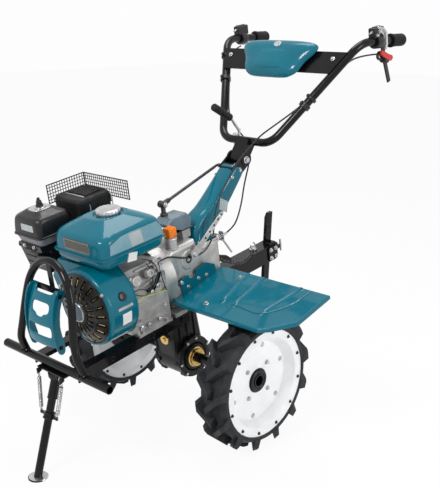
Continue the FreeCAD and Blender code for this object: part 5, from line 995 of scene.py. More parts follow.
piece("drum_back_edge", back_edge, "teal_paint")

# %% [markdown]
# ## Side of the engine
#
# Behind the drum the bare crankcase has screw bosses, a joint and bolts of several sizes. They
# could be left to a bump in the finish, but then no boss would throw a shadow. Turned forms with a
# drafted side, as a casting has, are sunk a little into the solid's wall.

# %% Bosses and bolts on the crankcase
BLOCK_Y = 92.0
bosses = bmesh.new()
for x, z, radius, rise in ((214, 346, 15, 9), (166, 352, 12, 12), (140, 352, 8, 6), (124, 318, 8, 4)):
    add_turned(bosses, [(-2, radius + 2), (0, radius + 1), (rise, radius), (rise + 1.5, radius - 2),
                        (rise + 1.5, radius * 0.55), (rise - 1, radius * 0.5), (rise - 1, 0)],
               (x, BLOCK_Y, z), (0, 1, 0.1), 28)
add_slab(bosses, rounded_outline(92, 5, 2), (166, BLOCK_Y, 372), (-1, 0, 0), (0, 0, 1), -6, 2)
piece("crankcase_bosses", bosses, "cast_alloy", edge=0.4)
case_bolts = bmesh.new()
for x, z in ((118, 232), (118, 290), (118, 338), (222, 232), (190, 206), (150, 206)):
    add_bolt(case_bolts, (x, BLOCK_Y + (6 if z < 210 else 0), z), (0, 1, 0), 9.0, turn=x)
add_bolt(case_bolts, (213, BLOCK_Y + 4, 203), (0, 1, 0), 13.0)
for x in (125, 215):
    for side in (1, -1):
        add_bolt(case_bolts, (x, side * 96, 191), (0, 0, 1), 11.0)
piece("crankcase_bolts", case_bolts, "steel")

# %% [markdown]
# The governor is an arm on a pivot, held back by a thin spring, with a rod up to the throttle. Flat
# levers are slabs, and the spring is a rod wound along a sloping line, as on the front stand. It
# never stretches, so it needs no blend and shares its piece with the pivots' nuts.

# %% Governor linkage
governor = bmesh.new()
add_side_plate(governor, [(-176, 296), (-166, 294), (-136, 330), (-132, 344), (-140, 346), (-150, 334)],
               104, -1.2, 1.2)
add_side_plate(governor, [(-188, 312), (-150, 316), (-146, 306), (-158, 300), (-186, 303)],
               100, -1.0, 1.0)
add_rod(governor, [(170, 92, 300), (170, 106, 300)], 4.5, 12)
add_rod(governor, [(148, 92, 309), (148, 105, 309)], 4.0, 12)
add_rod(governor, [(138, 105, 342), (160, 105, 372), (172, 104, 376)], 1.4, 8)
piece("governor_levers", governor, "black_paint", edge=0.3)
governor_steel = bmesh.new()
for x, z in ((170, 300), (148, 309)):
    add_bolt(governor_steel, (x, 105.5, z), (0, 1, 0), 8.0)
STEPS_A_TURN, LAST_STEP, COIL_REACH = 12, 12 * 14, 2.6
coil = []
for step in range(LAST_STEP + 1):
    angle = FULL_TURN * step / STEPS_A_TURN
    coil.append((140 + 58 * step / LAST_STEP, 101 + COIL_REACH * math.cos(angle),
                 336 - 12 * step / LAST_STEP + COIL_REACH * math.sin(angle)))
add_rod(governor_steel, coil, 0.7, 5)
piece("governor_spring", governor_steel, "steel")

# %% [markdown]
# Wires run beside the governor. They could be rods with bevelled corners, but a stiff insulated
# wire bends in one long curve, so they are drawn like the cables. The earth lead is the only
# yellow piece, and its finish is made with it.

# %% Engine wires
def add_wire(shape, points, radius):
    """A smooth wire along the machine's points, drawn straight in metres."""
    add_rod(shape, smooth_line(points), radius * MILLIMETRE, 8)


wires = bmesh.new()
add_wire(wires, [(228, 96, 318), (222, 108, 330), (196, 113, 318), (172, 112, 312), (150, 109, 330),
                 (140, 104, 360), (150, 92, 384), (170, 80, 392)], 1.6)
add_wire(wires, [(226, 97, 312), (205, 110, 300), (186, 112, 306), (168, 110, 330), (158, 102, 356),
                 (166, 90, 380)], 1.4)
add_wire(wires, [(126, 88, 372), (130, 100, 366), (134, 106, 350), (128, 104, 320), (120, 100, 296),
                 (112, 97, 280)], 1.6)
piece("engine_wires", wires, "black_plastic", matrix=IN_PLACE)
finish("yellow_lead", (0.42, 0.46, 0.02), (0.54, 0.56, 0.05), patch=60, rough=(0.4, 0.5), grain=900,
       depth=0.00002)
lead = bmesh.new()
add_wire(lead, [(228, 98, 288), (214, 101, 297), (182, 101, 294), (144, 101, 286), (118, 101, 283),
                (110, 96, 276)], 1.5)
piece("earth_lead", lead, "yellow_lead", matrix=IN_PLACE)

# %% [markdown]
# ## Air cleaner
#
# The cleaner is a moulded cover with a narrow lip at its foot. A cube with a wide bevel would come
# near it, but the real cover rolls over at its crown only. The tank's stack of outlines gives that,
# and the new cover stands for the plainer solid.

# %% Air cleaner cover
CLEANER_CENTRE = (262.0, -220.0)


def cleaner_level(z, inset, corner):
    """A level of the cover, from its height and how far its walls stand in."""
    return z, 126.0 - 2 * inset, 132.0 - 2 * inset, corner


cover = bmesh.new()
lip = [cleaner_level(452, 1.5, 14), cleaner_level(452.6, 0, 15), cleaner_level(457, 0, 15),
       cleaner_level(458, 1.5, 14)]
cover_wall = cut_corners([cleaner_level(458, 2.5, 14), cleaner_level(480, 3.5, 16), cleaner_level(500, 5, 20),
                          cleaner_level(508, 9, 24), cleaner_level(513, 19, 24), cleaner_level(517, 26, 20),
                          cleaner_level(520, 32, 16)])
add_shell(cover, CLEANER_CENTRE, lip + cover_wall)
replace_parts(piece("air_cleaner_cover", cover, "black_plastic"), "air_cleaner")

# %% [markdown]
# A wing nut on a bright plate holds the cover. The nut is a low cone with two wings, and the stud
# ends above it. The wings could be bent from one sheet, but two small bevelled slabs across the
# cone look the same at this size.

# %% Clamp plate, wing nut and blank plate
NUT_SEAT = (*CLEANER_CENTRE, 524)
clamp = bmesh.new()
add_slab(clamp, rounded_outline(62, 54, 20), (*CLEANER_CENTRE, 519.5), (1, 0, 0), (0, 1, 0), 0, 2.2)
add_turned(clamp, [(0, 17), (2.4, 16), (3.4, 13), (3.4, 0)], (*CLEANER_CENTRE, 521.5), (0, 0, 1), 28)
piece("cleaner_clamp_plate", clamp, "steel", edge=0.6)
wing_nut = bmesh.new()
add_turned(wing_nut, [(0, 11), (4, 11), (10, 8.5), (17, 7.5), (18, 6.5), (18, 0)], NUT_SEAT, (0, 0, 1), 20)
for lean in (1, -1):
    wing = [(lean * 4, 2), (lean * 15, 7), (lean * 17.5, 15), (lean * 14.5, 20), (lean * 9, 17),
            (lean * 4, 13)]
    add_slab(wing_nut, wing, NUT_SEAT, (0.35, 0.94, 0), (0, 0, 1), -2.2, 2.2)
add_turned(wing_nut, [(17, 4.2), (25, 4.2), (26, 3.4), (26, 0)], NUT_SEAT, (0, 0, 1), 12)
piece("cleaner_wing_nut", wing_nut, "black_plastic", edge=0.6)
cleaner_plate = bmesh.new()
add_slab(cleaner_plate, rounded_outline(56, 19, 3), (321.2, -211, 481), (0, 1, 0), (-0.03, 0, 1), -1.2, 0.7)
piece("cleaner_blank_plate", cleaner_plate, "grey_label", edge=0.3)

# %% [markdown]
# ## Intake duct
#
# Under the grey tray hangs the black intake box. Ribs stiffen it, screws close it, and the choke
# lever turns on its left side. Grooves cut between the ribs would give the same lines, but a thin
# slab sunk into the box for each rib is simpler, and the box itself stays as it is.

# %% Duct ribs and choke
duct = bmesh.new()
for z in (424, 414, 396, 378, 360):
    rib = rounded_outline(52 - (430 - z) * 0.18, 3.0, 1)
    add_slab(duct, rib, (321.2, -218, z), (0, 1, 0), (0, 0, 1), -3, 1.2)
add_slab(duct, rounded_outline(66, 12, 3), (287, -271, 420), (1, 0, 0), (0, 0, 1), -2, 3)
piece("duct_ribs", duct, "black_plastic", edge=0.5)
choke = bmesh.new()
add_slab(choke, [(-6, -6), (8, -8), (34, -3), (36, 3), (8, 6), (-6, 6)], (300, -164, 404), (0.9, 0, 0.3),
         (-0.3, 0, 0.9), -1.2, 1.2)
add_rod(choke, [(262, -150, 400), (262, -164, 400)], 6, 14)
add_rod(choke, [(290, -150, 404), (290, -166, 404)], 4, 12)
piece("choke_lever", choke, "black_paint", edge=0.3)
carb_bits = bmesh.new()
add_bolt(carb_bits, (290, -164.5, 404), (0, 1, 0), 7)
add_bolt(carb_bits, (321, -196, 425), (1, 0, 0), 7)
add_bolt(carb_bits, (321, -240, 425), (1, 0, 0), 7)
add_turned(carb_bits, [(0, 8), (16, 8), (18, 6), (18, 0)], (262, -150, 372), (0, 1, 0), 20)
piece("carburettor_fittings", carb_bits, "steel")

# %% [markdown]
# ## Muffler and its cage
#
# The muffler's guard is pressed sheet with nine louvres, and a bright seam runs over it at each
# end. A louvre is a raised lip, so a half-sunk rod that follows the roof and rolls over onto the
# wall gives its form. Bending the sheet's own mesh would take far more faces for the same line.

# %% Muffler louvres and seam
MUFFLER_LEFT, MUFFLER_RIGHT, MUFFLER_TOP = -136.0, -262.0, 526.0
louvres = bmesh.new()
LOUVRE_COUNT, FIRST_LOUVRE, LOUVRE_STEP = 9, 144, 8.6
for count in range(LOUVRE_COUNT):
    x = FIRST_LOUVRE - LOUVRE_STEP * count
    profile = [(x, MUFFLER_RIGHT + 14, MUFFLER_TOP - 1.4), (x, MUFFLER_RIGHT + 22, MUFFLER_TOP - 0.2),
               (x, MUFFLER_LEFT - 22, MUFFLER_TOP - 0.2), (x, MUFFLER_LEFT - 9, MUFFLER_TOP - 5),
               (x, MUFFLER_LEFT - 1.5, MUFFLER_TOP - 16), (x, MUFFLER_LEFT - 0.4, MUFFLER_TOP - 34)]
    add_rod(louvres, profile, 2.2, 8)
piece("muffler_louvres", louvres, "hot_metal")
band = bmesh.new()
for x in (152.0, 70.0):
    add_rod(band, [(x, MUFFLER_LEFT + 0.2, 462), (x, MUFFLER_LEFT + 0.2, MUFFLER_TOP - 24),
                   (x, MUFFLER_LEFT - 7, MUFFLER_TOP - 7), (x, MUFFLER_LEFT - 24, MUFFLER_TOP),
                   (x, MUFFLER_RIGHT + 24, MUFFLER_TOP), (x, MUFFLER_RIGHT + 7, MUFFLER_TOP - 7),
                   (x, MUFFLER_RIGHT - 0.2, MUFFLER_TOP - 24), (x, MUFFLER_RIGHT - 0.2, 462)], 1.8, 8)
piece("muffler_seams", band, "steel")

# %% [markdown]
# A cage of spot-welded wire keeps hands off the muffler. In the solid it is a coarse grid. A
# wireframe modifier on a finer grid would be quick, but all its wires would be alike. So each wire
# is a thin rod at its real spacing, with thicker ones round the border, and the cage stands for the
# solid.

# %% Wire cage
CAGE_LOW, CAGE_HIGH = 502.0, 557.0
CAGE_REAR, CAGE_FRONT, CAGE_RIGHT, CAGE_LEFT = 58.0, 196.0, -270.0, -70.0
WIRE, BORDER = 1.1, 1.7
cage = bmesh.new()
for row in range(7):
    z = CAGE_LOW + (CAGE_HIGH - CAGE_LOW) * row / 6
    thick = BORDER if row in (0, 6) else WIRE
    add_rod(cage, [(CAGE_FRONT, CAGE_RIGHT, z), (CAGE_REAR + 5, CAGE_RIGHT, z),
                   (CAGE_REAR + 1.5, CAGE_RIGHT + 1.5, z), (CAGE_REAR, CAGE_RIGHT + 5, z),
                   (CAGE_REAR, CAGE_LEFT, z)], thick, 6)
for column_wire in range(16):
    x = CAGE_FRONT - (CAGE_FRONT - CAGE_REAR) * column_wire / 15
    thick = BORDER if column_wire == 0 else WIRE
    add_rod(cage, [(x, CAGE_RIGHT + 1.6, CAGE_LOW), (x, CAGE_RIGHT + 1.6, CAGE_HIGH)], thick, 6)
for column_wire in range(22):
    y = CAGE_RIGHT + (CAGE_LEFT - CAGE_RIGHT) * column_wire / 21
    thick = BORDER if column_wire == 21 else WIRE
    add_rod(cage, [(CAGE_REAR + 1.6, y, CAGE_LOW), (CAGE_REAR + 1.6, y, CAGE_HIGH)], thick, 6)
for x in (90.0, 170.0):
    add_rod(cage, [(x, CAGE_RIGHT, CAGE_LOW + 9), (x, CAGE_RIGHT + 10, CAGE_LOW + 3)], BORDER, 6)
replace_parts(piece("muffler_wire_cage", cage, "black_paint"), "muffler_cage")

# %% [markdown]
# ## Gear housing
#
# The alloy housing is cast in two halves, so a flange runs up its joint. A filler neck with a
# collar carries the orange cap, and a round bearing cover closes the left side. These could be cut
# into the solid, but the solid stays as it came: each is laid on it as a low form in the same
# alloy.

# %% Housing joints
HOUSING_Y = 62.0
BEARING_X, BEARING_Z = -15, 316
FILLER_X, FILLER_Y = 25, 42.3
JOINT_FLANGE = [(-104, 200), (-104, 352), (-96, 364), (-90, 364), (-90, 200)]
LONG_RIBS = ([(-60, 250), (40, 262), (46, 256), (-56, 243)], [(-70, 216), (70, 228), (74, 222), (-66, 209)])
joints = bmesh.new()
for y in (HOUSING_Y, -HOUSING_Y - 3):
    add_side_plate(joints, JOINT_FLANGE, y, -2, 5)
for rib in LONG_RIBS:
    add_side_plate(joints, rib, HOUSING_Y, -1, 3)
add_slab(joints, rounded_outline(210, 10, 3), (-30, 0, 336), (-1, 0, 0), (0, 1, 0), -2, -1.9)
add_turned(joints, [(-2, 31), (2, 30), (4, 27), (4, 18), (2, 16.5), (2, 0)],
           (BEARING_X, HOUSING_Y, BEARING_Z), (0, 1, 0), 36)
add_turned(joints, [(-2, 22), (4, 20), (6, 17), (6, 0)], (48, HOUSING_Y, 236), (0, 1, 0), 32)
add_turned(joints, [(0, 20.5), (3, 20.5), (4, 19.5), (4, 17.2), (-1, 17)],
           (FILLER_X, FILLER_Y, 363), (0, 0, 1), 32)
add_turned(joints, [(0, 18.6), (2.4, 19.4), (4.6, 18.6), (5.2, 17.1), (-1, 17)],
           (FILLER_X, FILLER_Y, 389), (0, 0, 1), 32)
piece("housing_joints", joints, "cast_alloy", edge=0.5)

# %% [markdown]
# Screws close the flange, the bearing cover, the selector cover and the column's foot. Under the
# covers lie dark gaskets. A dark line in the finish could stand for one, but a thin slab that
# stands out by a millimetre is seen from every side.

# %% Housing screws and gaskets
housing_screws = bmesh.new()
for z in (216, 262, 308, 346):
    for side in (1, -1):
        add_bolt(housing_screws, (97, side * (HOUSING_Y + 5), z), (0, side, 0), 9.0, turn=z)
for degrees in (40, 160, 280):
    angle = math.radians(degrees)
    spot = (BEARING_X + 24 * math.cos(angle), HOUSING_Y + 4, BEARING_Z + 24 * math.sin(angle))
    add_bolt(housing_screws, spot, (0, 1, 0), 7.0, washer=False)
for x, y in ((8, 20), (8, -22), (-70, 22), (-70, -22)):
    add_bolt(housing_screws, (x, y, 392), (0, 0, 1), 7.0)
for x in (-138, -98):
    for side in (1, -1):
        add_bolt(housing_screws, (x, side * 46, 343), (0, 0, 1), 8.0)
piece("housing_screws", housing_screws, "steel")
gasket = bmesh.new()
add_slab(gasket, [(-16, -31), (80, -31), (80, 31), (-16, 31)], (0, 0, 392), (-1, 0, 0), (0, -1, 0),
         -1.2, 1.0)
add_slab(gasket, rounded_outline(88, 108, 6), (-108, 0, 338.4), (1, 0, 0), (0, 1, 0), -0.6, 0.6)
piece("housing_gaskets", gasket, "black_plastic")
dark_hole = bmesh.new()
add_turned(dark_hole, [(-1, 11.5), (0.6, 11.5), (0.2, 9), (-0.4, 0)],
           (BEARING_X, HOUSING_Y + 2, BEARING_Z), (0, 1, 0), 28)
piece("bearing_cover_seal", dark_hole, "black_plastic")

# %% [markdown]
# The orange cap is a moulded plug that fingers turn by a bar on its top. The solid gives the plug.
# A slab makes the bar, and four thin pins make the ribs down its side, which is enough for a piece
# that is no bigger than a thumb.

# %% Orange cap's grip
GRIP_RIB_REACH = 17.0
cap_grip = bmesh.new()
add_slab(cap_grip, rounded_outline(22, 7, 2.5), (FILLER_X, FILLER_Y, 423.5), (0.8, 0.6, 0), (-0.6, 0.8, 0),
         0, 3.5)
for turn in range(4):
    angle = math.pi / 4 + math.pi / 2 * turn
    x, y = FILLER_X + GRIP_RIB_REACH * math.cos(angle), FILLER_Y + GRIP_RIB_REACH * math.sin(angle)
    add_turned(cap_grip, [(0, 2.4), (22, 2.4), (23, 1.6), (23, 0)], (x, y, 398), (0, 0, 1), 10)
piece("oil_cap_grip", cap_grip, "orange_plastic", edge=0.4)

# %% [markdown]
# The clutch cable pulls a flat cast lever with a row of holes. The outline is drawn along the
# lever's own direction, so that it can slope. The holes could be cut with a boolean, but the solid
# housing behind them would show through as alloy. So each hole is a dark disc: painted shade for
# the darkness inside it, which looks deeper.

# %% Clutch lever
lever_dir = Vector((152.0, 0.0, -98.0)).normalized()
lever_up = Vector((0, 1, 0)).cross(lever_dir) * -1
clutch_lever = bmesh.new()
LEVER_START = Vector((-158.0, 76.0, 413.0))
PIN_AT, LEVER_FACE = 154, Vector((0, 1.5, 0))
outline = [(0, -7), (30, -8), (78, -8), (112, -9), (132, -13), (152, -13), (164, -9), (168, 0), (164, 9),
           (152, 13), (132, 12), (112, 8), (78, 8), (30, 7), (0, 6), (-7, 0)]
add_slab(clutch_lever, outline, LEVER_START, lever_dir, lever_up, -1.5, 1.5)
lever_pin = LEVER_START + lever_dir * PIN_AT
add_rod(clutch_lever, [lever_pin + Vector((0, -15, 0)), lever_pin + Vector((0, 2, 0))], 8, 20)
add_rod(clutch_lever, [(-150, 60, 330), (-150, 78, 330), (-178, 80, 282)], 3.2, 10)
add_rod(clutch_lever, [(-128, 62, 356), (-128, 84, 356), (-120, 84, 338)], 3.0, 10)
piece("clutch_lever", clutch_lever, "cast_alloy", edge=0.4)
# Painted shade: a dark disc on the lever's face where each hole is.
lever_hole_shade = bmesh.new()
for along, radius in ((6, 3.4), (24, 3.4), (46, 3.4), (70, 3.8), (94, 3.8)):
    add_turned(lever_hole_shade, [(-1, radius), (0.4, radius), (0.2, 0)],
               LEVER_START + lever_dir * along + LEVER_FACE, (0, 1, 0), 16)
piece("clutch_lever_hole_shade", lever_hole_shade, "black_plastic")
lever_bolts = bmesh.new()
add_bolt(lever_bolts, lever_pin + LEVER_FACE, (0, 1, 0), 9)
add_bolt(lever_bolts, LEVER_START + lever_dir * 14 + LEVER_FACE, (0, 1, 0), 8)
piece("clutch_lever_bolts", lever_bolts, "steel")

# %% [markdown]
# ## Axle case
#
# The round end of the black case has a bolted cover on each side with the brass seal in its
# middle. Stiffening ribs run up the leg, and studs with nuts close the two halves. All of it turns
# round the axle or stands on one circle, so collars and turned studs build it from few numbers. A
# sculpted case would be slower and no closer.

# %% Axle case covers
CASE_FACE, STUD_CIRCLE = 52.0, 58
STUD_DEGREES = (66, -4, 102, 161, 213, 264, 315)
case_cover = bmesh.new()
for side in (1, -1):
    add_collar(case_cover, [(-2, 63.5), (1, 64.5), (5, 64.0), (6, 62.5), (6, 47), (4, 45), (4, 40), (8, 38.5),
                            (9, 36), (9, 29.5), (-2, 29.5)], (0, side * (CASE_FACE - 4), 0), (0, side, 0), 56)
    for x, low, high in ((-24, 58, 176), (6, 62, 176), (36, 58, 176), (66, 40, 176)):
        add_side_plate(case_cover, [(-x - 2.5, low), (-x + 2.5, low), (-x + 2.0, high), (-x - 2.0, high)],
                       side * 40, -3, 4)
    for degrees in STUD_DEGREES:
        add_turned(case_cover, [(-14, 9.5), (3, 9.5), (4, 8.5), (4, 0)],
                   on_circle(STUD_CIRCLE, degrees, side * (CASE_FACE - 4)), (0, side, 0), 20)
piece("axle_case_covers", case_cover, "case_iron", edge=0.5)
case_nuts = bmesh.new()
for side in (1, -1):
    for degrees in STUD_DEGREES:
        spot = on_circle(STUD_CIRCLE, degrees, side * CASE_FACE)
        add_bolt(case_nuts, spot, (0, side, 0), 8.5, turn=degrees)
piece("axle_case_nuts", case_nuts, "steel")
seal_rings = bmesh.new()
for side in (1, -1):
    add_collar(seal_rings, [(0, 31), (4, 31), (6, 29), (6, 27.3), (0, 27.3)],
               (0, side * (CASE_FACE + 2), 0), (0, side, 0), 40)
    add_collar(seal_rings, [(0, 27.4), (2, 26.6), (2, 20), (1, 19), (1, 15.6), (-2, 15.6)],
               (0, side * (CASE_FACE + 14), 0), (0, side, 0), 40)
add_turned(seal_rings, [(-2, 16), (3, 16), (5, 14), (5, 8), (8, 7), (8, 0)], (78, 18, 84), (1, 0, 0), 28)
piece("axle_seal_rings", seal_rings, "brass_part")

# %% [markdown]
# ## Column
#
# The column is a pressed cover that flares into a foot. In the solid its front has a knee with
# straight faces, and a subdivision surface would soften its foot as well. The real sheet bends only
# at the knee, so the piece is swept: each station is a front point, a rear point, a half width and
# two corner radii, and the corner cutter rounds the bend.

# %% Swept column
def add_sweep(shape, stations, steps=6):
    """A rounded tube; a station is front x, z, rear x, z, half width, front and rear corner radius."""
    previous = None
    for front_x, front_z, rear_x, rear_z, half, front_radius, rear_radius in stations:
        front, rear = Vector((front_x, 0, front_z)), Vector((rear_x, 0, rear_z))
        along, middle, reach = (front - rear).normalized(), (front + rear) / 2, (front - rear).length / 2
        ring = []
        for sign_u, sign_v, start in ((1, 1, 0), (-1, 1, 90), (-1, -1, 180), (1, -1, 270)):
            radius = front_radius if sign_u > 0 else rear_radius
            for k in range(steps + 1):
                angle = math.radians(start + 90 * k / steps)
                u = sign_u * (reach - radius) + radius * math.cos(angle)
                v = sign_v * (half - radius) + radius * math.sin(angle)
                ring.append(shape.verts.new(middle + along * u + Vector((0, v, 0))))
        if previous:
            skin(shape, previous, ring)
        else:
            shape.faces.new(ring)
        previous = ring
    shape.faces.new(previous)


foot = [(-64, 338.2, -150, 338.2, 52, 8, 8), (-64, 342.4, -150, 342.4, 52, 8, 8),
        (-67, 343.4, -147, 343.4, 49, 8, 8)]
neck = cut_corners([(-74, 343.6, -145, 343.4, 44, 16, 12), (-79, 380, -150, 366, 37, 20, 10),
                    (-114, 409, -196, 384, 34.5, 22, 8), (-150, 421.5, -222, 397, 34, 22, 8),
                    (-262, 503, -308, 477, 34, 21, 8), (-278, 515, -314, 486, 34, 21, 8),
                    (-284, 517, -315, 489, 31, 19, 7)])
column = bmesh.new()
add_sweep(column, foot + neck)
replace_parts(piece("column_cover", column, "teal_paint"), "column")

# %% [markdown]
# A bare label sits on the column's left wall, and bolts hold the cover to the head and to the gear
# housing. They come from the same helpers as every other bolt on the machine, so that only their
# places and sizes are new.

# %% Column label and bolts
label = bmesh.new()
add_side_plate(label, [(201, 440), (232, 418), (222, 386), (191, 407)], 34.0, -2.4, 0.4)
piece("column_label", label, "grey_label")
column_bolts = bmesh.new()
for side in (1, -1):
    add_bolt(column_bolts, (-262, side * 33.6, 486), (0, side, 0), 7.0)
for x in (-76, -140):
    for side in (1, -1):
        add_bolt(column_bolts, (x, side * 47, 343), (0, 0, 1), 7.0)
piece("column_bolts", column_bolts, "steel")

# %% [markdown]
# The handlebar turns on one large bolt through the column's head, and a smaller bolt ties the head
# to the column. Neither moves when the handlebar is raised, so both ride on the frame. They could
# be drawn by hand, but a hexagon on a washer is what the bolt helper already gives.

# %% Pivot bolt and head nuts
PIVOT_X, PIVOT_Z = -334, 520
head_bolts = bmesh.new()
for side in (1, -1):
    add_bolt(head_bolts, (PIVOT_X, side * 30.5, PIVOT_Z), (0, side, 0), 15.0)
    add_bolt(head_bolts, (-300, side * 30.2, 497), (0, side, 0), 10.0)
piece("head_bolts", head_bolts, "steel")
head_plates = bmesh.new()
for side in (1, -1):
    add_collar(head_plates, [(0, 21), (2.2, 20.4), (2.2, 8), (0, 8)], (PIVOT_X, side * 30, PIVOT_Z),
               (0, side, 0), 32)
piece("head_washers", head_plates, "black_paint")

# %% [markdown]
# The shift rod runs from the gear lever down to a knuckle on the selector shaft. The knuckle has a
# cross barrel, a stub below it and a socket for the rod. A boolean could weld the three into one
# skin. Three turned forms that run into each other look the same, and a bevel softens their rims.

# %% Shift rod's knuckle
KNUCKLE, SHAFT_TOP, ROD_TOP = Vector((-12, -14, 473)), (-12, -14, 436), Vector((-287, -45, 510))
knuckle = bmesh.new()
add_turned(knuckle, [(-13, 0), (-13, 9), (-11, 10.5), (9, 10.5), (12, 9), (12, 0)], KNUCKLE, (0, 1, 0), 28)
add_turned(knuckle, [(-2, 9), (0, 11.5), (9, 11.5), (11, 9), (11, 7), (30, 7), (31, 0)], SHAFT_TOP,
           (0, 0, 1), 24)
rod_dir = (ROD_TOP - KNUCKLE).normalized()
add_turned(knuckle, [(2, 0), (2, 8), (26, 7.5), (30, 5.4), (34, 5.4), (34, 0)], KNUCKLE, rod_dir, 20)
piece("shift_knuckle", knuckle, "dark_steel", edge=0.4)
rod_sleeve = bmesh.new()
add_rod(rod_sleeve, [KNUCKLE + rod_dir * 30, KNUCKLE + rod_dir * 258], 4.6, 14)
piece("shift_rod_sleeve", rod_sleeve, "dark_steel")
knuckle_bolt = bmesh.new()
add_bolt(knuckle_bolt, (-12, -2, 473), (0, 1, 0), 10.0)
piece("shift_knuckle_bolt", knuckle_bolt, "steel")

# %% [markdown]
# ## Grips
#
# A grip is a rubber sleeve with a flange at its inner end and rings that keep the hand from
# slipping. A displaced cylinder could carry the rings, but a profile with a step for each ring is
# turned in one go. Its axis is the tube's own line, which runs back and slightly down.

# %% Rubber grips
GRIP_END, UPPER_BEND = (-833.0, 276.0, 797.3), (-622.0, 268.0, 826.0)
GRIP_LENGTH, GRIP_RING_STEP = 66.0, 5.2
first_grip = None
for side_name, side in (("left", 1), ("right", -1)):
    end = Vector((GRIP_END[0], side * GRIP_END[1], GRIP_END[2]))
    along = (Vector((UPPER_BEND[0], side * UPPER_BEND[1], UPPER_BEND[2])) - end).normalized()
    profile = [(0, 0), (0.2, 12), (1.4, 16.5), (4.0, 18.6)]
    at = 6.0
    while at < GRIP_LENGTH - 10:
        profile += [(at, 19.2), (at + 3.0, 19.2), (at + 3.6, 18.3), (at + 4.6, 18.3)]
        at += GRIP_RING_STEP
    profile += [(GRIP_LENGTH - 7, 18.4), (GRIP_LENGTH - 5.5, 21.0), (GRIP_LENGTH - 2, 21.2),
                (GRIP_LENGTH, 19.5), (GRIP_LENGTH, 13.2), (GRIP_LENGTH, 12.55)]
    sleeve = bmesh.new()
    add_turned(sleeve, profile, end, along, 36)
    made = piece("grip_" + side_name, sleeve, "grip_rubber", "handlebar")
    first_grip = first_grip or made
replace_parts(first_grip, "grips")

# %% [markdown]
# ## Hand levers and stop switch
#
# Each side has a clamp block with a folded lever over the grip. The solids give the lever's bar.
# A bent rod and a slab along its edge make the folded blade. One folded sheet with a solidify
# modifier would also do, but then the rolled edge would be as thin as the sheet.

# %% Levers over the grips
for side_name, side in (("left", 1), ("right", -1)):
    blade = bmesh.new()
    add_rod(blade, [(-690, side * 282, 858), (-712, side * 286, 852), (-724, side * 289, 838),
                    (-725, side * 289, 806), (-722, side * 287, 788)], 4.0, 12)
    add_side_plate(blade, [(690, 850), (706, 852), (726, 838), (728, 794), (720, 790), (716, 830),
                           (702, 842), (690, 842)], side * 284.5, -2.0, 2.0)
    piece("hand_lever_blade_" + side_name, blade, "steel", "handlebar", edge=0.5)
    hinge = bmesh.new()
    add_bolt(hinge, (-698, side * 284, 846), (0, side, 0), 9.0)
    add_bolt(hinge, (-686, side * 283.5, 836), (0, side, 0), 7.0)
    add_turned(hinge, [(0, 5), (3, 5), (10, 3), (14, 3), (14, 0)], (-675.5, side * 272, 846),
               (1, 0, -0.1), 14)
    piece("hand_lever_bolts_" + side_name, hinge, "steel", "handlebar")
    block = bmesh.new()
    add_slab(block, rounded_outline(34, 12, 4), (-698, side * 271, 858.2), (1, 0, 0), (0, 1, 0), -1, 2.4)
    add_collar(block, [(-14, 13), (-14, 20.6), (-12, 21.4), (12, 21.4), (14, 20.6), (14, 13)],
               (-698, side * 270.9, 815.8), (-0.9905, side * 0.0375, -0.1347), 32)
    piece("hand_lever_clamp_" + side_name, block, "black_plastic", "handlebar", edge=0.6)

# %% [markdown]
# Beside the left grip sits the stop switch: a red latch, a black ring and a steel stem. No other
# piece is red, so this finish is made here, where it is first needed. The latch could be one
# curved blade, but a slab with a bevel is what a moulded latch of this size looks like.

# %% Red latch and switch ring
finish("red_plastic", (0.50, 0.018, 0.012), (0.62, 0.030, 0.020), patch=60, rough=(0.3, 0.42),
       grain=900, depth=0.00003)
latch = bmesh.new()
add_side_plate(latch, [(702, 789), (716, 784), (738, 772), (758, 764), (762, 756), (752, 748),
                       (736, 754), (716, 766), (700, 778)], 284, -3.5, 3.5)
piece("stop_switch_latch", latch, "red_plastic", "handlebar", edge=0.8)
switch_ring = bmesh.new()
SWITCH_PLACE = (-706, 274, 772)
add_collar(switch_ring, [(-3, 9), (-3, 13), (-1, 14), (2, 14), (4, 13), (4, 9)], SWITCH_PLACE, (0, 1, 0), 28)
add_turned(switch_ring, [(0, 12.5), (12, 12.5), (14, 11), (14, 0)], (-734, 272, 757), (0, 1, 0), 24)
piece("stop_switch_ring", switch_ring, "black_plastic", "handlebar")
ring_face = bmesh.new()
add_turned(ring_face, [(-4, 9.2), (1.5, 9.2), (2, 8), (2, 0)], SWITCH_PLACE, (0, 1, 0), 24)
piece("stop_switch_stem", ring_face, "steel", "handlebar")

# %% [markdown]
# Plastic clips hold the cables to the handlebar's legs. Each is a collar round the tube with a
# short lug. It could be placed by hand, but a share of the leg's length keeps it on the tube's
# line, whatever its angle.

# %% Cable clips on the legs
LEG_FOOT, LEG_TOP = Vector((-376.0, 98.0, 566.0)), Vector((-622.0, 268.0, 826.0))


def on_leg(share, side):
    """A point on a leg's line, from nought at its foot to one at its bend."""
    spot = LEG_FOOT.lerp(LEG_TOP, share)
    return Vector((spot.x, spot.y * side, spot.z))


clips = bmesh.new()
for side, share, length in ((1, 0.36, 16), (1, 0.44, 10), (-1, 0.56, 14), (-1, 0.80, 8)):
    leg_line = (on_leg(1, side) - on_leg(0, side)).normalized()
    add_collar(clips, [(0, 12.6), (0, 16.2), (1.5, 17.4), (length - 1.5, 17.4), (length, 16.2),
                       (length, 12.6)], on_leg(share, side), leg_line, 28)
    lug = on_leg(share, side) + leg_line * (length / 2)
    add_rod(clips, [lug + Vector((6, 0, 6)), lug + Vector((17, side * 2, 15))], 5.0, 10)
piece("cable_clips", clips, "black_plastic", "handlebar")

# %% [markdown]
# ## Dash cover
#
# The cover on the cross plate is a glossy moulded shield: a domed form, wide at its upper edge and
# drawn in below. A slab with a bevel would leave it flat. Here rings of points are lifted off the
# plate, each smaller than the last, and a subdivision surface rounds them into a dome.

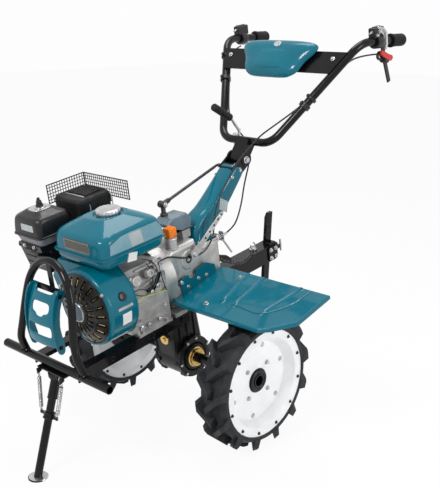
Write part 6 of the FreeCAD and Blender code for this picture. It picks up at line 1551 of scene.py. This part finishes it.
# %% Domed cover
PLATE_UP, PLATE_OUT = Vector((-0.687, 0, 0.726)), Vector((0.726, 0, 0.687))
PLATE_SEAT = Vector((-541.0, 0, 740.4)) + PLATE_OUT * 15.8


def on_plate(y, rise, lift):
    """A point over the cross plate: to the left, up along it, and off its face."""
    return PLATE_SEAT + Vector((0, y, 0)) + PLATE_UP * rise + PLATE_OUT * lift


right_half = [(40, -31), (75, -30), (100, -14), (112, 4), (117, 28), (140, 54), (150, 74), (144, 90),
              (110, 96), (56, 99)]
shield = right_half + [(-y, rise) for y, rise in reversed(right_half)]
# A ring is its lift, its share of the shield's size, and how far up it is shifted.
cover_rings = ((0.3, 1.0, 0.0), (14, 1.0, 0.0), (24, 0.94, 0.0), (31, 0.80, 1.0), (35, 0.58, 3.0),
               (36.5, 0.34, 5.0))
SHIELD_MIDDLE, PANEL_MIDDLE = 36, 26
dash = bmesh.new()
ring_points = []
for lift, share, shift in cover_rings:
    ring_points.append([dash.verts.new(on_plate(
        y * share, SHIELD_MIDDLE + (rise - SHIELD_MIDDLE) * share + shift, lift)) for y, rise in shield])
skin_stack(dash, ring_points)
dash_cover = piece("dash_shield", dash, "teal_plastic", "handlebar")
round_off(dash_cover)
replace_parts(dash_cover, "dash_cover")

# %% [markdown]
# On the shield sit a raised panel and a bare oval badge, and a bolt at each end holds the plate.
# The panel is made like the shield. Its outer parts are lowered a little, so that it follows the
# dome, which is easier than projecting it there with a modifier.

# %% Badge, inner panel and plate bolts
badge = bmesh.new()
badge_outline = [(14 * math.cos(FULL_TURN * k / 28), 10 * math.sin(FULL_TURN * k / 28)) for k in range(28)]
add_slab(badge, badge_outline, on_plate(6, 74, 34.0), (0, 1, 0), PLATE_UP, -2.5, 3.0)
piece("dash_badge", badge, "steel", "handlebar", edge=0.5)
panel = bmesh.new()
panel_half = [(34, -12), (62, -8), (74, 10), (88, 34), (104, 58), (86, 66), (40, 62)]
panel_outline = panel_half + [(-y, rise) for y, rise in reversed(panel_half)]
panel_rings = []
for lift, share in ((22.0, 1.02), (33.0, 0.98), (37.4, 0.90), (38.8, 0.62), (39.2, 0.30)):
    panel_rings.append([panel.verts.new(on_plate(
        y * share, PANEL_MIDDLE + (rise - PANEL_MIDDLE) * share,
        lift - 9.0 * (abs(y * share) / 104) ** 2 * (lift > 30))) for y, rise in panel_outline])
skin_stack(panel, panel_rings)
round_off(piece("dash_inner_panel", panel, "teal_plastic", "handlebar"))
plate_bolts = bmesh.new()
for y, rise in ((-205, 50), (205, 50)):
    add_bolt(plate_bolts, on_plate(y, rise, 0.0), PLATE_OUT, 9.0)
piece("cross_plate_bolts", plate_bolts, "steel", "handlebar")

# %% [markdown]
# The gear lever rises beside the column's head and ends in a ribbed rubber sleeve. The sleeve is
# made as the grips are, since both are mouldings with the same rings, and two nuts hold the
# lever's foot.

# %% Gear lever's sleeve
LEVER_LOW, LEVER_HIGH = Vector((-370.0, -50.0, 634.0)), Vector((-301.0, -50.0, 685.0))
lever_line = (LEVER_HIGH - LEVER_LOW).normalized()
sleeve_length = (LEVER_HIGH - LEVER_LOW).length
SLEEVE_RING_STEP = 6.2
profile = [(0, 0), (0, 8), (1, 10.2), (3, 11.4)]
at = 6.0
while at < sleeve_length - 8:
    profile += [(at, 11.9), (at + 3.4, 11.9), (at + 4.1, 11.2), (at + 5.1, 11.2)]
    at += SLEEVE_RING_STEP
profile += [(sleeve_length - 2, 11.9), (sleeve_length + 0.8, 10.4), (sleeve_length + 1.4, 6),
            (sleeve_length + 1.4, 0)]
lever_sleeve = bmesh.new()
add_turned(lever_sleeve, profile, LEVER_LOW + lever_line * 2, lever_line, 28)
piece("gear_lever_sleeve", lever_sleeve, "grip_rubber", "handlebar")
lever_nuts = bmesh.new()
add_bolt(lever_nuts, (-380, -50, 578), (-0.2, 0, 1), 12.0)
add_bolt(lever_nuts, (-402, -50, 588), (-0.2, 0, 1), 10.0, washer=False)
piece("gear_lever_nuts", lever_nuts, "steel", "handlebar")

# %% [markdown]
# ## Frame and bumper
#
# Tubes are welded, so a bead of weld runs round each foot of the hoop. It could be a bump in the
# paint, but a weld is a real ridge that breaks the edge between two tubes. Here it is a thin rod
# along the joint, half sunk in both.

# %% Welds on the tubes
WELD_REACH, WELD_STEPS = 11.4, 32
welds = bmesh.new()
HOOP_FOOT = Vector((449.0, 126.0, 177.0))
for side in (1, -1):
    foot_at = Vector((HOOP_FOOT.x, side * HOOP_FOOT.y, HOOP_FOOT.z))
    ring = []
    for k in range(WELD_STEPS + 1):
        angle = FULL_TURN * k / WELD_STEPS
        out_x, out_y = math.cos(angle), math.sin(angle)
        height = math.sqrt(max(12.6 ** 2 - (11.0 * out_x) ** 2, 25.0))
        ring.append((foot_at.x + WELD_REACH * out_x + 3, foot_at.y + WELD_REACH * out_y,
                     foot_at.z + height + 0.8))
    add_rod(welds, ring, 2.3, 8)
    for z in (166.0, 181.0):
        add_rod(welds, [(436, side * 95, z), (446, side * 95.6, z + 2)], 1.8, 8)
piece("hoop_welds", welds, "black_paint")

# %% [markdown]
# The bumper hoop is one bent tube. The solid's goes straight from bend to bend. The real one was
# pushed through a bender and curves nearly all the way, so this tube takes the solid's line through
# the corner cutter first, and stands for it. A curve object with a round bevel could do the same.
# Two flat straps join the hoop to the guard.

# %% Bumper hoop and its straps
HOOP_RADIUS = 10.5
hoop = bmesh.new()
hoop_half = [(449, 128, 186), (456, 127, 212), (460, 124, 234), (453, 110, 276), (434, 101, 345),
             (418, 84, 408), (407, 47, 448), (404, 0, 462)]
hoop_line = hoop_half + [(x, -y, z) for x, y, z in reversed(hoop_half[:-1])]
add_rod(hoop, cut_corners(cut_corners(hoop_line)), HOOP_RADIUS, 20)
bumper_hoop = piece("hoop_tube", hoop, "black_paint")
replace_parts(bumper_hoop, "bumper_hoop")
straps = bmesh.new()
add_slab(straps, [(-88, 370), (88, 370), (88, 388), (-88, 388)], (408.5, 0, 0), (0, 1, 0), (0, 0, 1), 0, 4)
add_slab(straps, [(-9, 387), (9, 387), (9, 453), (-9, 453)], (408.5, 0, 0), (0, 1, 0), (0, 0, 1), 0, 4)
piece("hoop_straps", straps, "black_paint", edge=0.8)

# %% [markdown]
# ## Guard
#
# The guard is moulded, with thick rounded bars round its windows. Windows cut with a boolean would
# have sharp edges, so it starts as a bare grid of faces with cells left out: a row is its height,
# how far forward it bulges, and its half width. A solidify modifier gives the grid thickness, and a
# subdivision surface rounds every bar.

# %% Guard shell
GUARD_ROWS = ((396, 431, 57), (384, 440, 57), (374, 447, 56), (363, 453, 56), (338, 464, 56),
              (329, 467, 56), (316, 470, 56), (306, 472, 57), (279, 475, 58), (268, 475, 58),
              (250, 474, 58))
GUARD_COLUMNS = (-1.0, -0.82, -0.64, -0.24, 0.24, 0.64, 0.82, 1.0)
WINDOW_CELLS = {(3, 2), (3, 3), (3, 4), (4, 3), (7, 1), (7, 2), (7, 3), (7, 4), (7, 5),
                (0, 2), (0, 3), (0, 4)}
guard = bmesh.new()
grid = []
for z, x, half in GUARD_ROWS:
    grid.append([guard.verts.new((x - 7.0 * abs(share) ** 3, share * half, z)) for share in GUARD_COLUMNS])
for row, (upper, lower) in enumerate(zip(grid, grid[1:])):
    for cell in range(len(GUARD_COLUMNS) - 1):
        if (row, cell) not in WINDOW_CELLS:
            guard.faces.new((upper[cell], upper[cell + 1], lower[cell + 1], lower[cell]))
guard_shell = piece("guard_shell", guard, "teal_plastic")
thick = guard_shell.modifiers.new("thick", "SOLIDIFY")
thick.thickness = 6.0 * MILLIMETRE
thick.offset = 0.0
round_off(guard_shell)
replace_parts(guard_shell, "front_guard")

# %% [markdown]
# A bowed band closes the guard on each side, and screws go through it. It could be swept along the
# bow, but it is flat seen from the front, so a plate whose outline follows the bow, with rounded
# edges, is the simpler form.

# %% Guard bands and screws
bands = bmesh.new()
band_outline = cut_corners([(-436, 400), (-448, 392), (-463, 360), (-471, 326), (-474, 290), (-472, 258),
                            (-468, 236), (-459, 228), (-448, 232), (-444, 252), (-449, 285), (-449, 315),
                            (-436, 362), (-414, 386), (-418, 398), (-436, 400)], 1)
for side in (1, -1):
    low, high = (56.5, 61.0) if side > 0 else (-61.0, -56.5)
    add_side_plate(bands, band_outline, 0, low, high)
piece("guard_side_bands", bands, "teal_plastic", edge=1.6)
guard_screws = bmesh.new()
for side in (1, -1):
    add_bolt(guard_screws, (459, side * 61, 250), (0, side, 0), 8.0)
    add_bolt(guard_screws, (434, side * 61, 384), (0, side, 0), 8.0)
    add_bolt(guard_screws, (430, side * 46, 382), (0.93, 0, 0.37), 7.0)
piece("guard_screws", guard_screws, "black_paint")

# %% [markdown]
# Four bolts on each side hold the engine and its guard to the rails. All eight are one piece,
# because they share a finish and never move apart.

# %% Rail bolts
rail_bolts = bmesh.new()
for x in (70, 185, 330, 425):
    for side in (1, -1):
        add_bolt(rail_bolts, (x, side * 97, 168), (0, side, 0), 10.0, turn=x)
piece("rail_bolts", rail_bolts, "black_paint")

# %% [markdown]
# ## Front stand
#
# The stand turns on a pin with a nut at each end. Its collar has rims and a pinch bolt, the leg a
# row of holes for its height, and the foot is a round plate. Parked, it lies flat on the floor, so
# it is drawn level, not in the leaning frame. All but the pin's own ends ride on the stand.
# Parented to the frame they would stay in the air when it folds.

# %% Stand fasteners
STAND_PIVOT = Vector((453.0, 0.0, 142.0))
STAND_DOWN = Vector((0.4226, 0.0, -0.9063))
COLLAR_DROP, FOOT_DROP = 106, 269.0
pin_ends = bmesh.new()
for side in (1, -1):
    add_bolt(pin_ends, (STAND_PIVOT.x, side * 19.2, STAND_PIVOT.z), (0, side, 0), 11.0)
for x in (444, 462):
    for side in (1, -1):
        add_bolt(pin_ends, (x, side * 40, 160.6), (0, 0, -1), 8.0)
piece("stand_pin_nuts", pin_ends, "steel")
stand_bits = bmesh.new()
collar_at = STAND_PIVOT + STAND_DOWN * COLLAR_DROP
front_of_leg = STAND_DOWN.cross(Vector((0, 1, 0))) * -1
add_bolt(stand_bits, collar_at + front_of_leg * 15, front_of_leg, 8.0)
piece("stand_collar_bolt", stand_bits, "steel", "front_stand")
collar_rim = bmesh.new()
for drop in (58.0, 99.0, 113.0):
    wider = (drop > 60) * 2
    add_collar(collar_rim, [(-1.6, 10), (-1.6, 13.6 + wider), (0, 14.6 + wider), (1.6, 13.6 + wider),
                            (1.6, 10)], STAND_PIVOT + STAND_DOWN * drop, STAND_DOWN, 32)
piece("stand_collar_rims", collar_rim, "black_paint", "front_stand")
# Painted shade: each hole in the leg is a dark disc on its face where the hole is.
leg_hole_shade = bmesh.new()
for drop in (140, 165, 190, 215):
    for out in (front_of_leg, -front_of_leg):
        add_turned(leg_hole_shade, [(-1, 3.4), (0.25, 3.4), (0.1, 0)],
                   STAND_PIVOT + STAND_DOWN * drop + out * 10.9, out, 16)
piece("stand_leg_hole_shade", leg_hole_shade, "hot_metal", "front_stand")
foot_at = CHASSIS @ (STAND_PIVOT + STAND_DOWN * FOOT_DROP)
foot_plate = bmesh.new()
add_turned(foot_plate, [(0.6, 0), (0.6, 26.0), (3.2, 26.6), (4.4, 26.0), (4.6, 24.0), (4.6, 0)],
           (foot_at.x * 1000, 0, 0), (0, 0, 1), 40)
piece("stand_foot_plate", foot_plate, "steel", "front_stand", matrix=Matrix.Scale(MILLIMETRE, 4))

# %% [markdown]
# ## Fenders
#
# Each fender is a pressed sheet with a raised bead near its edge. The bead could be pressed into
# the mesh with a fine grid, but a thin rod that is half sunk in the sheet gives the same line.

# %% Fender beads
FENDER_SLOPE = math.tan(math.radians(7.3))
BEAD_LINE = [(12, 243), (14, 287), (20, 330), (14, 352), (2, 366), (-25, 386), (-52, 398), (-87, 405),
             (-134, 408)]


def on_fender(x, y, lift=0.0):
    """A point on the sloping sheet, or lifted off it."""
    return x, y, 222.0 + (76.0 - x) * FENDER_SLOPE + lift


fender_bead = bmesh.new()
for side in (1, -1):
    add_rod(fender_bead, [on_fender(x, side * y, 0.2) for x, y in cut_corners(BEAD_LINE)], 2.2, 8)
piece("fender_beads", fender_bead, "teal_paint")

# %% [markdown]
# Three long ribs are pressed up along each fender's top. A displaced sheet would need thousands of
# faces to show them. A rib is a strip instead, with a domed section that swells at one end and
# sinks at the other.

# %% Fender ribs
ribs = bmesh.new()
RIB_SECTION = ((-10, -0.4), (-7.5, 1.0), (-4.5, 3.6), (0, 4.8), (4.5, 3.6), (7.5, 1.0), (10, -0.4))
RIB_STEPS, RIB_FRONT, RIB_LENGTH = 12, 20, 153
for side in (1, -1):
    for near_y, far_y in ((209, 181), (251, 239), (348, 374)):
        previous = None
        for k in range(RIB_STEPS + 1):
            share = k / RIB_STEPS
            swell = min(1.0, 6 * share + 0.1, 6 * (1 - share) + 0.1)
            x, y = RIB_FRONT - RIB_LENGTH * share, near_y + (far_y - near_y) * share
            row = [ribs.verts.new(on_fender(x, side * (y + out), lift * swell)) for out, lift in RIB_SECTION]
            if previous:
                for a, b, c, d in zip(previous, previous[1:], row[1:], row):
                    ribs.faces.new((a, b, c, d))
            previous = row
piece("fender_ribs", ribs, "teal_paint")

# %% [markdown]
# Two bolts go down through each sheet, and four more through its upright flange. The first two
# stand square to the slope. Left upright, one edge of each head would sink into the sheet.

# %% Fender bolts
fender_screws = bmesh.new()
for side in (1, -1):
    for x, y in ((42, 174), (-107, 173)):
        add_bolt(fender_screws, on_fender(x, side * y), (FENDER_SLOPE, 0, 1), 10.0, turn=x)
    for x, z in ((31, 262), (-36, 250), (8, 240), (-69, 248)):
        add_bolt(fender_screws, (x, side * 73, z), (0, side, 0), 8.0, turn=x)
piece("fender_screws", fender_screws, "steel")

# %% [markdown]
# ## Hitch, stake and chain
# A pin with a ring head locks the drawbar. The depth stake has a row of holes and a bolted clamp
# with a handle. The holes could be cut through the solid, but it stays as it came, so each is a
# dark disc on the stake's face: painted shade where the hole is. The clamp is three plates.

# %% Hitch pin and clamp
PIN_X, RING_Z, RING_REACH = -360, 220, 10
STAKE_PLACE, STAKE_LEAN = Vector((-424.0, 0, 176.0)), math.radians(12.0)
hitch = bmesh.new()
add_turned(hitch, [(-60, 0), (-60, 5.5), (-58, 7.4), (2, 7.4), (2, 12), (6, 12), (8, 10), (8, 0)],
           (PIN_X, 0, 203), (0, 0, 1), 24)
ring_angles = [FULL_TURN * k / 20 for k in range(21)]
add_rod(hitch, [(PIN_X + RING_REACH * math.cos(a), 0, RING_Z + RING_REACH * math.sin(a))
                for a in ring_angles], 2.2, 8)
piece("hitch_pin", hitch, "steel")
clamp = bmesh.new()
add_side_plate(clamp, rounded_outline(44, 46, 5, middle=(424, 176)), 26, 0, 5)
add_side_plate(clamp, rounded_outline(30, 12, 3, middle=(452, 186)), 16, 0, 12)
add_side_plate(clamp, rounded_outline(30, 10, 3, middle=(430, 206)), 8, 0, 16)
piece("stake_clamp", clamp, "black_paint", edge=0.8)
clamp_bolts = bmesh.new()
for x, z in ((-412, 190), (-436, 190), (-412, 162), (-436, 162)):
    add_bolt(clamp_bolts, (x, 31, z), (0, 1, 0), 9.0, turn=x)
add_rod(clamp_bolts, [(-460, 22, 186), (-474, 22, 186)], 5.0, 12)
add_rod(clamp_bolts, [(-472, 22, 206), (-472, 22, 166)], 3.4, 10)
piece("stake_clamp_bolts", clamp_bolts, "steel")
# Painted shade: dark discs on both faces of the stake where its holes are.
holes = bmesh.new()
stake_line = Vector((-math.tan(STAKE_LEAN), 0, 1)).normalized()
for rise in (-160, -130, -100, -70, 60, 84, 106):
    spot = STAKE_PLACE + stake_line * rise
    for side in (1, -1):
        add_turned(holes, [(-1, 5.2), (0.3, 5.2), (0.1, 0)], (spot.x, side * 6.0, spot.z), (0, side, 0), 20)
piece("stake_hole_shade", holes, "hot_metal")

# %% [markdown]
# A short chain keeps the pin from being lost. An array modifier along a curve could repeat its
# link, but each second link has to be turned by a quarter. So a loop walks along the line, sets
# down a closed rod at each step and turns every other one.

# %% Pin chain
CHAIN_LINE = [(-150, 60, 262), (-178, 62, 246), (-214, 56, 226), (-250, 44, 208), (-300, 34, 206),
              (-344, 14, 212)]
chain_path = smooth_line(CHAIN_LINE)
to_machine = CHASSIS.inverted()
chain_points = [to_machine @ point for point in chain_path]
chain = bmesh.new()
LINK_LENGTH, LINK_HALF, LINK_WIRE, FIRST_LINK = 9.0, 4.4, 1.6, 4.0
travel, count, next_at = 0.0, 0, FIRST_LINK
for before, after in zip(chain_points, chain_points[1:]):
    run = after - before
    while next_at <= travel + run.length:
        centre = before + run.normalized() * (next_at - travel)
        along = run.normalized()
        first, second = across(along)
        width_way = first if count % 2 else second
        loop = [centre + along * (math.cos(FULL_TURN * k / 16) * (LINK_LENGTH / 2 + 2.4))
                + width_way * (math.sin(FULL_TURN * k / 16) * LINK_HALF) for k in range(17)]
        add_rod(chain, loop, LINK_WIRE, 6)
        count += 1
        next_at += LINK_LENGTH
    travel += run.length
piece("pin_chain", chain, "dark_steel")
print("chain of", count, "links")

# %% [markdown]
# Beside the drawbar sits a small latch plate on two pins. It is one bevelled slab with two rods
# through it, the quickest true form for a part that is cut from flat bar.

# %% Latch beside the drawbar
drawbar_latch = bmesh.new()
add_side_plate(drawbar_latch, [(152, 262), (160, 272), (186, 262), (206, 244), (202, 232), (180, 240)],
               40, 0, 10)
add_rod(drawbar_latch, [(-168, 30, 252), (-168, 62, 252)], 6.0, 16)
add_rod(drawbar_latch, [(-196, 30, 236), (-196, 58, 236)], 5.0, 16)
piece("drawbar_latch", drawbar_latch, "black_paint", edge=0.8)
